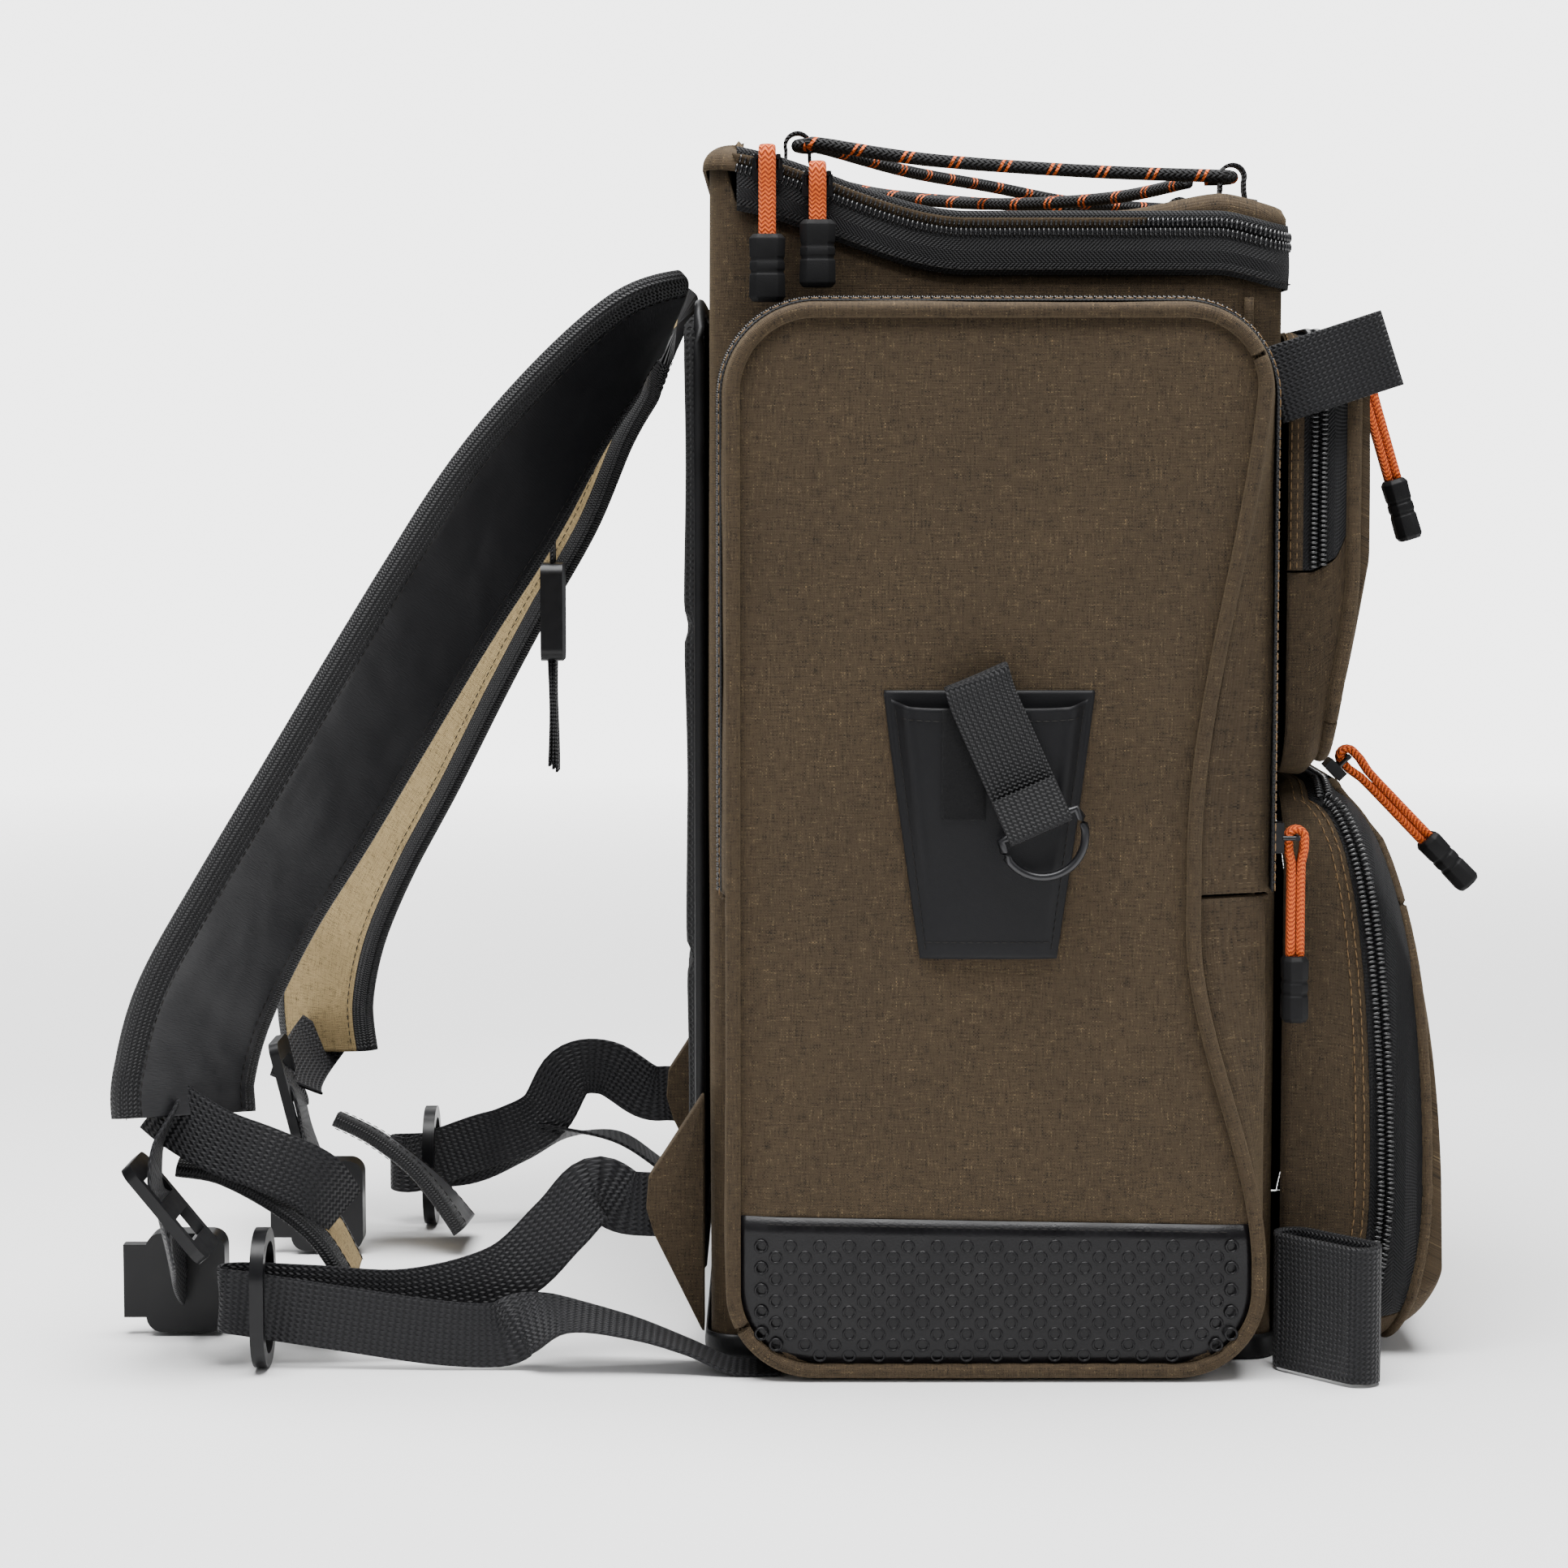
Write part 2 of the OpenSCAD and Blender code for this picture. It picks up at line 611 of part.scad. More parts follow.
// x, y, z of the webbing's middle, then the direction of its width
web_route_L = [[6, 23, 57, 0, 0, 1], [6, 30, 58, 0, 0, 1], [4, 41, 63, 0.1, 0.2, 0.9],
    [1, 54, 50, 0.3, 0.5, 0.8], [-1, 74, 32, 0, 0, 1], [-4, 109, 23, 0, 0, 1], [-7, 144, 25, 0, 0, 1],
    [-7, 166, 26, 0, 0, 1], [-9, 176, 26, 0, 0, 1], [-13, 176, 25, 0, 0, 1], [-15, 166, 24, 0, 0, 1],
    [-15, 134, 19, 0, 0, 1], [-16, 99, 14, 0, 0, 1], [-16, 76, 13, 0, 0, 1],
    [-15, 66, 17, 0.5, 0, 0.9], [-15, 50, 20, 0.9, 0, 0.3], [-14, 26, 15, 1, 0, 0.1],
    [-14, 6, 8, 1, 0, 0], [-15, -10, 1.4, 1, 0, 0], [-15, -28, 0.9, 1, 0, 0]];
web_route_R = [[-6, 23, 57, 0, 0, 1], [-6, 31, 58, 0, 0, 1], [-5, 48, 68, 0, 0.2, 0.9],
    [-5, 64, 66, 0, 0.5, 0.8], [-6, 75, 48, 0, 0.3, 0.9], [-8, 90, 40, 0, 0, 1],
    [-10, 104, 36, 0, 0, 1], [-11, 130, 27, 0, 0, 1], [-9, 140, 27, 0, 0, 1], [-5, 140, 27, 0, 0, 1],
    [-3, 130, 27, 0, 0, 1], [-2, 110, 28, 0, 0, 1], [1, 86, 34, -0.6, 0, 0.8],
    [3, 66, 38, -0.9, 0, 0.3], [4, 44, 36, -1, 0, 0], [7, 26, 24, -1, 0, 0], [12, 6, 6, -1, 0, 0],
    [15, -8, 1.2, -1, 0, 0], [15, -24, 0.9, -1, 0, 0]];
module lower_web_L() { color("#151517") at_corner(-1) sweep(smooth(web_route_L), flat(web_w, web_t)); }
module lower_web_R() { color("#151517") at_corner(1) sweep(smooth(web_route_R), flat(web_w, web_t)); }

// ---------------------------------------------------------------- shoulder straps
// x, y, z of the pad's middle, then the direction of its width
pad_route_L = [[67, 15, 386, 1, 0, -0.3], [57, 31, 374, 1, -0.3, -0.4], [47, 52, 350, 0.8, -0.4, -0.4],
    [37, 76, 315, 0.7, -0.6, -0.4], [29, 99, 279, 0.7, -0.6, -0.4], [22, 120, 244, 0.7, -0.6, -0.4],
    [15, 143, 205, 0.7, -0.6, -0.4], [9, 166, 167, 0.7, -0.6, -0.3], [3, 184, 132, 0.7, -0.7, -0.2],
    [-1, 191, 106, 0.7, -0.7, 0], [-3, 191, 92, 0.7, -0.7, 0]];
pad_route_R = [[-67, 15, 386, -1, 0, -0.3], [-57, 28, 373, -1, -0.3, -0.4],
    [-47, 47, 350, -0.8, -0.4, -0.4], [-37, 68, 315, -0.7, -0.6, -0.4],
    [-29, 89, 279, -0.7, -0.6, -0.4], [-22, 108, 244, -0.7, -0.6, -0.4],
    [-15, 128, 205, -0.7, -0.6, -0.4], [-10, 148, 167, -0.7, -0.6, -0.3],
    [-7, 164, 132, -0.7, -0.7, -0.2], [-5, 170, 100, -0.7, -0.7, 0], [-6, 168, 76, -0.7, -0.7, 0]];
anchor_z = 392;
anchor_in = 69;
anchor_size = [44, 16, 5];
module strap_pad(route, s) {
    color("#191719") at_corner(s) {
        sweep(smooth(route, 2), padded(pad_w, pad_t));
        translate([-s * anchor_in - anchor_size[0] / 2, panel_t + 1.5, anchor_z - anchor_size[2]])
            cube(anchor_size);
    }
}
module strap_pad_L() { strap_pad(pad_route_L, -1); }
module strap_pad_R() { strap_pad(pad_route_R, 1); }

// padded tongue below each strap, bound at the edge
tab_route_L = [[18, 194, 75, 1, 0, 0.2], [18, 178, 72, 1, 0, 0.2], [18, 158, 61, 1, 0, 0.2],
    [19, 143, 46, 1, 0, 0.1], [20, 133, 28, 1, 0, 0]];
tab_route_R = [[-51, 160, 54, -1, 0, 0.2], [-51, 144, 46, -1, 0, 0.2], [-52, 128, 34, -1, 0, 0.2],
    [-53, 116, 22, -1, 0, 0.1], [-54, 106, 9, -1, 0, 0]];
tab_w = 46;
tab_t = 8;
module strap_tab(route, s) { color("#6b5a40") at_corner(s) sweep(smooth(route, 2), padded(tab_w, tab_t)); }
module strap_tab_L() { strap_tab(tab_route_L, -1); }
module strap_tab_R() { strap_tab(tab_route_R, 1); }

// flat bar adjuster with two slots for the webbing
module adjuster() {
    rim = 4;
    bar = web_w + 2 * rim;
    color("#101012") rotate([90, 0, 0]) translate([0, 0, -2]) linear_extrude(4) difference() {
        rounded(bar, 44, 5);
        for (s = [-1, 1]) translate([0, s * 9]) square([web_w, 10], center = true);
    }
}
module adjuster_L() { at_corner(-1) translate([-20, 194, 61]) rotate([-39, 0, 0]) adjuster(); }
module adjuster_R() { at_corner(1) translate([-47, 180, 66]) rotate([-14, 0, 0]) adjuster(); }

// side-release buckle: a housing with a tongue pushed in
module buckle() {
    color("#141416") rotate([0, 90, 0]) translate([0, 0, -6]) {
        linear_extrude(12) rounded(38, 30, 6);
        translate([0, 19, 3]) linear_extrude(6) square([28, 10], center = true);
    }
}
module buckle_L() { at_corner(-1) translate([43, 198, 20.5]) buckle(); }
module buckle_R() { at_corner(1) translate([-65, 162, 20.5]) buckle(); }

// oval ring that the lower webbing turns through
ring_out = [36, 51];
module web_ring() {
    bar = 5;
    color("#0f0f11") rotate([90, 0, 0]) translate([0, 0, -bar / 2]) linear_extrude(bar) difference() {
        rounded(ring_out[0], ring_out[1], 17);
        rounded(ring_out[0] - 2 * bar, ring_out[1] - 2 * bar, 12);
    }
}
module ring_L() { at_corner(-1) translate([-11, 162, ring_out[1] / 2 + 0.4]) web_ring(); }
module ring_R() { at_corner(1) translate([-7, 124, ring_out[1] / 2 + 0.4]) web_ring(); }

// ---------------------------------------------------------------- chest strap
chest = [-72, 66, 303];
module sternum_web_R() {
    tail = 4;
    color("#151517") at_corner(1) {
        translate([chest[0] - 10, chest[1] - web_t / 2, chest[2] - 14]) cube([20, web_t, 16]);
        translate([chest[0] - 9, chest[1] - tail / 2, chest[2] - 100]) cube([18, tail, 46]);
    }
}
module sternum_buckle_R() {
    color("#111113") at_corner(1) translate([chest[0], chest[1], chest[2] - 34]) rotate([90, 0, 0])
        translate([0, 0, -4.5]) linear_extrude(9) rounded(27, 40, 5);
}
// the other half lies on the outer face of the left strap
module on_strap(route, i, out) {
    t = along(route, i);
    u = side_dir(route, i);
    v = cross(t, u);
    p = at(route, i) + out * v;
    multmatrix([[u[0], t[0], -v[0], p[0]], [u[1], t[1], -v[1], p[1]], [u[2], t[2], -v[2], p[2]], [0, 0, 0, 1]])
        children();
}
chest_i = 4;
module sternum_web_L() {
    color("#151517") at_corner(-1) on_strap(pad_route_L, chest_i, -pad_t / 2 - gap - web_t / 2)
        translate([-10, -20, -web_t / 2]) cube([20, 18, web_t]);
}
module sternum_buckle_L() {
    color("#111113") at_corner(-1) on_strap(pad_route_L, chest_i, -pad_t / 2 - gap - 4.5)
        translate([0, 14, -4.5]) linear_extrude(9) rounded(27, 32, 5);
}

main_shell();
base_panel();
base_board();
back_panel();
back_board();
body_zip();
lid_panel();
lid_zip();
lid_loops();
bungee();
lid_slider_a();
lid_slider_b();
lid_pull_a();
lid_pull_b();
side_tray_L();
side_tray_R();
side_flap_L();
side_flap_R();
kick_L();
kick_R();
side_slider_L();
side_slider_R();
side_pull_L();
side_pull_R();
sheath();
sheath_strap();
d_ring();
front_up_tray();
front_up_flap();
up_slider();
up_pull();
front_low_tray();
front_low_zip();
front_low_flap();
front_low_flap_zip();
front_plate();
low_slider();
low_pull();
rod_strap_L();
rod_strap_R();
rod_loop_L();
rod_loop_R();
wing_L();
wing_R();
lower_web_L();
lower_web_R();
strap_pad_L();
strap_pad_R();
strap_tab_L();
strap_tab_R();
adjuster_L();
adjuster_R();
buckle_L();
buckle_R();
ring_L();
ring_R();
sternum_web_R();
sternum_buckle_R();
sternum_web_L();
sternum_buckle_L();
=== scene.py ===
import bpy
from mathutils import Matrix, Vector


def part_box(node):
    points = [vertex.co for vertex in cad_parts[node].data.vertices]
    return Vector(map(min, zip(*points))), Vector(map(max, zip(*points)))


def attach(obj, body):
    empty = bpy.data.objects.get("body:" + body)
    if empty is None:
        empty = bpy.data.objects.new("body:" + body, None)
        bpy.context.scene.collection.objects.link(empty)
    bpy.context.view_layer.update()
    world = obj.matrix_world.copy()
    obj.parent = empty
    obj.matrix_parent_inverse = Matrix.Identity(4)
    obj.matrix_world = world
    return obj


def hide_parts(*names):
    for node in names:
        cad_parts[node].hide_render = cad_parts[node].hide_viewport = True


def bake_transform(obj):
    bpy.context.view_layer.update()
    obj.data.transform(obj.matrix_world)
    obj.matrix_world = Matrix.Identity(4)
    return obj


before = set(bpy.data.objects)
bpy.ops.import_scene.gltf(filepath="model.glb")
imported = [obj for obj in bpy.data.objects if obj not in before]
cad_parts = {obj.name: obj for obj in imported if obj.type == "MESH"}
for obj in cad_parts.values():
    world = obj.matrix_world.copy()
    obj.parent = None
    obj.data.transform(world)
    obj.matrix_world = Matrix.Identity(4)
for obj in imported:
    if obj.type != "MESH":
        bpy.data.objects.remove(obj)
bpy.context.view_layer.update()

import math

import bmesh
import bpy
import numpy as np
from mathutils import Vector

# ---- Camera, floor and light
# A pale floor that fades into the background, soft light from overhead and weak fill from both
# sides. The camera stands level with the top of the pack, on the wearer's left.
MM = 0.001
CAMERA_AT = (-1.500, 0.077, 0.335)
CAMERA_AIM = (-0.160, 0.077, 0.2166)

camera = bpy.data.objects.new("camera", bpy.data.cameras.new("camera"))
camera.data.lens = 86.7
camera.data.sensor_width = 36
camera.location = CAMERA_AT
camera.rotation_euler = (Vector(CAMERA_AIM) - Vector(CAMERA_AT)).to_track_quat("-Z", "Y").to_euler()
bpy.context.scene.collection.objects.link(camera)
bpy.context.scene.camera = camera


def linear(code, gain=1.0):
    """A colour written as a hex code, turned to linear light and scaled by gain."""
    part = [int(code[i:i + 2], 16) / 255 for i in (1, 3, 5)]
    part = [v / 12.92 if v <= 0.04045 else ((v + 0.055) / 1.055) ** 2.4 for v in part]
    return (part[0] * gain, part[1] * gain, part[2] * gain, 1)


def put(tree, kind, inputs=None, **settings):
    """Adds a shader node; each input is a value or the socket that feeds it."""
    made = tree.nodes.new(kind)
    for name, value in settings.items():
        setattr(made, name, value)
    for name, value in (inputs or {}).items():
        if isinstance(value, bpy.types.NodeSocket):
            tree.links.new(value, made.inputs[name])
        else:
            made.inputs[name].default_value = value
    return made


def calc(tree, operation, *terms):
    """One step of arithmetic on sockets or numbers, giving a socket."""
    made = tree.nodes.new("ShaderNodeMath")
    made.operation = operation
    for i, term in enumerate(terms):
        if isinstance(term, bpy.types.NodeSocket):
            tree.links.new(term, made.inputs[i])
        else:
            made.inputs[i].default_value = term
    return made.outputs[0]


def blend_colour(tree, share, first, second):
    """Colour that goes from first to second as share goes from 0 to 1."""
    made = put(tree, "ShaderNodeMix", data_type="RGBA")
    for socket, value in zip((made.inputs[0], made.inputs[6], made.inputs[7]), (share, first, second)):
        if isinstance(value, bpy.types.NodeSocket):
            tree.links.new(value, socket)
        else:
            socket.default_value = value
    return made.outputs[2]


def ramp(tree, share, *stops):
    """Colour looked up along a ramp; each stop is a place from 0 to 1 and a linear colour."""
    made = put(tree, "ShaderNodeValToRGB", {"Fac": share})
    bar = made.color_ramp.elements
    while len(bar) < len(stops):
        bar.new(0.5)
    for element, (place, colour) in zip(bar, stops):
        element.position = place
        element.color = colour
    return made.outputs["Color"]


def new_material(name):
    """An empty node material with its surface shader; returns the material, tree and shader."""
    made = bpy.data.materials.new(name)
    made.use_nodes = True
    tree = made.node_tree
    return made, tree, tree.nodes["Principled BSDF"]


def floor_material():
    """Matt white that turns clear away from the middle, so that the floor has no edge."""
    made, tree, shader = new_material("floor paper")
    shader.inputs["Base Color"].default_value = linear("#f4f4f4")
    shader.inputs["Roughness"].default_value = 0.85
    place = put(tree, "ShaderNodeTexCoord").outputs["Object"]
    away = put(tree, "ShaderNodeVectorMath", {0: place}, operation="LENGTH").outputs["Value"]
    fade = put(tree, "ShaderNodeMapRange", {"Value": away, "From Min": 0.7, "From Max": 2.4}).outputs[0]
    clear = put(tree, "ShaderNodeBsdfTransparent")
    both = put(tree, "ShaderNodeMixShader", {0: fade, 1: shader.outputs[0], 2: clear.outputs[0]})
    tree.links.new(both.outputs[0], tree.nodes["Material Output"].inputs["Surface"])
    return made


FLOOR_DROP = 0.0002
bpy.ops.mesh.primitive_circle_add(vertices=96, radius=2.5, fill_type="NGON", location=(0, 0, -FLOOR_DROP))
floor = bpy.context.object
floor.name = "floor"
floor.data.materials.append(floor_material())


def soft_box(name, place, aim, size, power):
    """A square area light at place, turned to face aim."""
    made = bpy.data.objects.new(name, bpy.data.lights.new(name, "AREA"))
    made.data.size = size
    made.data.energy = power
    made.location = place
    made.rotation_euler = (Vector(aim) - Vector(place)).to_track_quat("-Z", "Y").to_euler()
    bpy.context.scene.collection.objects.link(made)


soft_box("overhead", (-0.25, 0.1, 1.9), (0, 0.05, 0.2), 1.7, 140)
soft_box("left fill", (-1.9, 1.1, 1.3), (0, 0, 0.2), 1.4, 5)
soft_box("front fill", (-1.2, -1.7, 1.1), (0, 0, 0.2), 1.2, 9)
soft_box("back fill", (1.8, 0.9, 1.3), (0, 0, 0.25), 1.4, 12)
BACKDROP_LEVEL = 4.6
ROOM_LEVEL = 0.2
world = bpy.data.worlds.new("studio")
world.use_nodes = True
seen = world.node_tree.nodes["Background"]
seen.inputs["Color"].default_value = linear("#f4f4f4")
seen.inputs["Strength"].default_value = BACKDROP_LEVEL
lights = put(world.node_tree, "ShaderNodeBackground", {"Color": linear("#f4f6fa"), "Strength": ROOM_LEVEL})
straight = put(world.node_tree, "ShaderNodeLightPath").outputs["Is Camera Ray"]
room = put(world.node_tree, "ShaderNodeMixShader", {0: straight, 1: lights.outputs[0], 2: seen.outputs[0]})
world.node_tree.links.new(room.outputs[0], world.node_tree.nodes["World Output"].inputs["Surface"])
bpy.context.scene.world = world

# ---- Main compartment walls
# Heathered brown canvas on thin foam: one wall sewn round the rectangular base, a little full
# between its corners, with a welt down each front corner. It ends under the lid zip's tape.
PACK = "pack"
GOLD = 0.618


def corners_of(node):
    """Lowest and highest corner of a CAD node, in millimetres."""
    low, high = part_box(node)
    return np.array(low) / MM, np.array(high) / MM


(BODY_LOW, BODY_HIGH) = corners_of("main_shell")
HALF_W = BODY_HIGH[0]
HALF_D = BODY_HIGH[1]
CORNER = 12
WALL = 3
RIM = 415
BACK_RISE = 24
TAPE = 17


def ease(t):
    """Smooth step from 0 to 1."""
    t = np.clip(t, 0, 1)
    return t * t * (3 - 2 * t)


def rim_height(y):
    """Height of the lid zip: level, rising at the back and dipping a little at the front."""
    return RIM + BACK_RISE * ease((y - 10) / (HALF_D - 10)) - 5 * ease((-y / HALF_D - 0.74) / 0.26)


def outline(share, wide, deep, radius, out=0.0):
    """Points round a rounded rectangle, at shares of its length from the middle of its back edge.

    Each side is a straight stretch and each corner a quarter circle; out grows the outline evenly.
    Returns x, y and the outward direction's x and y.
    """
    half_w, half_d = wide / 2 - radius, deep / 2 - radius
    arc = math.pi / 2 * radius
    pieces = [half_w, arc, 2 * half_d, arc, 2 * half_w, arc, 2 * half_d, arc, half_w]
    ends = np.cumsum(pieces)
    run = (share % 1.0) * ends[-1]
    index = np.minimum(np.searchsorted(ends, run, side="right"), 8)
    into = run - np.concatenate([[0], ends])[index]
    sides = {0: (0, half_d, 1, 0, 0, 1), 2: (half_w, half_d, 0, -1, 1, 0), 4: (half_w, -half_d, -1, 0, 0, -1),
             6: (-half_w, -half_d, 0, 1, -1, 0), 8: (-half_w, half_d, 1, 0, 0, 1)}
    x, y, nx, ny = (np.zeros_like(run) for _ in range(4))
    for k, (x0, y0, dx, dy, ax, ay) in sides.items():
        at = index == k
        x[at] = x0 + dx * into[at] + ax * radius
        y[at] = y0 + dy * into[at] + ay * radius
        nx[at], ny[at] = ax, ay
    for k, (cx, cy, start) in {1: (half_w, half_d, 90), 3: (half_w, -half_d, 0), 5: (-half_w, -half_d, -90),
                               7: (-half_w, half_d, 180)}.items():
        at = index == k
        angle = np.radians(start) - into[at] / radius
        nx[at], ny[at] = np.cos(angle), np.sin(angle)
        x[at], y[at] = cx + radius * nx[at], cy + radius * ny[at]
    return x + out * nx, y + out * ny, nx, ny


def ripple(a, b, seed, size=60.0):
    """Soft uneven swell from -1 to 1: sines of three lengths crossing at set angles."""
    turn = seed * 2.4
    total = np.sin((a * math.cos(turn) + b * math.sin(turn)) / size * 2.1 + seed)
    total = total + 0.6 * np.sin((a * math.sin(turn) - b * math.cos(turn)) / size * 3.7 + 1.7 * seed)
    total = total + 0.35 * np.sin((a * 0.8 + b * GOLD) / size * 6.9 + 3.1 * seed)
    return total / 1.95


def grid_piece(name, place, flat, material, around=False, wall=0.0, flip=False, weld=False, split=None):
    """A surface from a grid of places, in millimetres, with its flat cloth coordinates as UV.

    Its outside is on the side of (row direction) x (column direction), or the other side with flip.
    around joins the last column to the first, wall gives the sheet its thickness, weld closes
    rows that shrink to a point, and split gives the material number of each column.
    """
    rows, columns = place.shape[:2]
    cells = columns if around else columns - 1
    r, c = (axis.ravel() for axis in np.meshgrid(np.arange(rows - 1), np.arange(cells), indexing="ij"))
    if around:
        flat = np.concatenate([flat, 2 * flat[:, -1:] - flat[:, -2:-1]], 1)
    corners = [(r, c), (r + 1, c), (r + 1, c + 1), (r, c + 1)]
    if flip:
        corners = corners[::-1]
    faces = np.stack([a * columns + b % columns for a, b in corners], 1)
    uv = np.stack([flat[a, b] for a, b in corners], 1)
    number = None if split is None else np.asarray(split)[c]
    return mesh_piece(name, place.reshape(-1, 3), faces, uv.reshape(-1, 2), material, wall, weld, number)


def mesh_piece(name, points, faces, uv, material, wall=0.0, weld=False, number=None):
    """Makes the object: points in millimetres, quads, UV in metres, smooth shading."""
    mesh = bpy.data.meshes.new(name)
    mesh.vertices.add(len(points))
    mesh.vertices.foreach_set("co", (np.asarray(points, float) * MM).ravel())
    mesh.loops.add(faces.size)
    mesh.loops.foreach_set("vertex_index", faces.ravel().astype(np.int32))
    mesh.polygons.add(len(faces))
    mesh.polygons.foreach_set("loop_start", np.arange(0, faces.size, faces.shape[1], dtype=np.int32))
    mesh.update(calc_edges=True)
    if uv is not None:
        layer = mesh.uv_layers.new(name="cloth")
        layer.data.foreach_set("uv", (np.asarray(uv, float) * MM).ravel())
    mesh.polygons.foreach_set("use_smooth", np.ones(len(faces), bool))
    for each in (material if isinstance(material, (list, tuple)) else [material]):
        mesh.materials.append(each)
    if number is not None:
        mesh.polygons.foreach_set("material_index", number.astype(np.int32))
    if weld:
        work = bmesh.new()
        work.from_mesh(mesh)
        bmesh.ops.remove_doubles(work, verts=work.verts, dist=1e-6)
        work.to_mesh(mesh)
        work.free()
    made = bpy.data.objects.new(name, mesh)
    bpy.context.scene.collection.objects.link(made)
    if wall:
        solid = made.modifiers.new("wall", "SOLIDIFY")
        solid.thickness = wall * MM
        solid.offset = -1
    return made


def fasten(piece, body, slot, *nodes):
    """Rides the piece on a body and hides the CAD nodes that it stands for; slot is not used."""
    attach(piece, body)
    if nodes:
        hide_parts(*nodes)
    return piece


def cloth_place(tree, on_uv):
    """Flat cloth coordinates in metres: the piece's UV, or the two object axes it faces least."""
    coords = put(tree, "ShaderNodeTexCoord")
    if on_uv:
        return coords.outputs["UV"]
    facing = put(tree, "ShaderNodeVectorMath", {0: coords.outputs["Normal"]}, operation="ABSOLUTE").outputs[0]
    facing = put(tree, "ShaderNodeSeparateXYZ", {0: facing}).outputs
    at = put(tree, "ShaderNodeSeparateXYZ", {0: coords.outputs["Object"]}).outputs
    to_side = calc(tree, "GREATER_THAN", facing[0], facing[1])
    to_top = calc(tree, "GREATER_THAN", facing[2], calc(tree, "MAXIMUM", facing[0], facing[1]))
    level = calc(tree, "ADD", calc(tree, "MULTIPLY", at[1], to_side),
                 calc(tree, "MULTIPLY", at[0], calc(tree, "SUBTRACT", 1.0, to_side)))
    level = calc(tree, "ADD", calc(tree, "MULTIPLY", level, calc(tree, "SUBTRACT", 1.0, to_top)),
                 calc(tree, "MULTIPLY", at[0], to_top))
    upright = calc(tree, "ADD", calc(tree, "MULTIPLY", at[2], calc(tree, "SUBTRACT", 1.0, to_top)),
                   calc(tree, "MULTIPLY", at[1], to_top))
    return put(tree, "ShaderNodeCombineXYZ", {0: level, 1: upright}).outputs[0]


def streaks(tree, place, along, across, seed, detail=2.0):
    """Noise drawn out along one direction of the cloth, as uneven spun yarn shows."""
    stretched = put(tree, "ShaderNodeMapping", {"Vector": place, "Location": (seed, seed * GOLD, 0),
                                                "Scale": (along, across, 1)}).outputs[0]
    return put(tree, "ShaderNodeTexNoise", {"Vector": stretched, "Scale": 1.0, "Detail": detail,
                                            "Roughness": 0.6}).outputs["Fac"]


YARN = 0.00062
CANVAS_DARK = "#17120c"
CANVAS_MID = "#3a2f21"
CANVAS_TAN = "#65563e"
CANVAS_FLECK = "#8a6138"


def canvas(name, on_uv=True, gain=1.0):
    """Plain-weave canvas of mixed yarns: warp and weft each streaked dark, brown and tan."""
    made, tree, shader = new_material(name)
    place = cloth_place(tree, on_uv)
    axes = put(tree, "ShaderNodeSeparateXYZ", {0: place}).outputs
    warp_wave = calc(tree, "SINE", calc(tree, "MULTIPLY", axes[0], math.pi / YARN))
    weft_wave = calc(tree, "SINE", calc(tree, "MULTIPLY", axes[1], math.pi / YARN))
    weave = calc(tree, "MULTIPLY", warp_wave, weft_wave)
    over = calc(tree, "GREATER_THAN", weave, 0.0)
    stops = ((0.30, linear(CANVAS_DARK, gain)), (0.46, linear(CANVAS_MID, gain)),
             (0.62, linear(CANVAS_MID, gain * 1.2)), (0.73, linear(CANVAS_TAN, gain)),
             (0.86, linear(CANVAS_FLECK, gain)))
    warp = ramp(tree, streaks(tree, place, 1 / YARN * 0.8, 170, 3.1), *stops)
    weft = ramp(tree, streaks(tree, place, 180, 1 / YARN * 0.8, 7.7), *stops)
    yarns = blend_colour(tree, over, warp, weft)
    patch = streaks(tree, place, 22, 16, 1.3, 3.0)
    patch = put(tree, "ShaderNodeMapRange", {"Value": patch, "From Min": 0.3, "From Max": 0.7,
                                             "To Min": 0.90, "To Max": 1.08}).outputs[0]
    shaded = put(tree, "ShaderNodeVectorMath", {0: yarns, 1: patch}, operation="MULTIPLY").outputs[0]
    tree.links.new(shaded, shader.inputs["Base Color"])
    shader.inputs["Roughness"].default_value = 0.88
    shader.inputs["Sheen Weight"].default_value = 0.16
    shader.inputs["Sheen Roughness"].default_value = 0.45
    shader.inputs["Sheen Tint"].default_value = linear("#b79f78")
    shader.inputs["Specular IOR Level"].default_value = 0.25
    slub = streaks(tree, place, 50, 900, 4.4)
    height = calc(tree, "ADD", calc(tree, "ABSOLUTE", weave), calc(tree, "MULTIPLY", slub, 0.8))
    bump = put(tree, "ShaderNodeBump", {"Strength": 0.55, "Distance": 0.00025, "Height": height})
    tree.links.new(bump.outputs[0], shader.inputs["Normal"])
    return made


CANVAS = canvas("brown canvas")
# The same canvas at 0.9 gain: painted shade for the gussets, seam bars and wing pads, which are of the one
# cloth.
CANVAS_PAINTED_SHADE = canvas("brown canvas painted shade", gain=0.9)

FULLNESS = 1.6
around_body = np.linspace(0, 1, 241)[:-1]
up_wall = np.linspace(0, 1, 60)


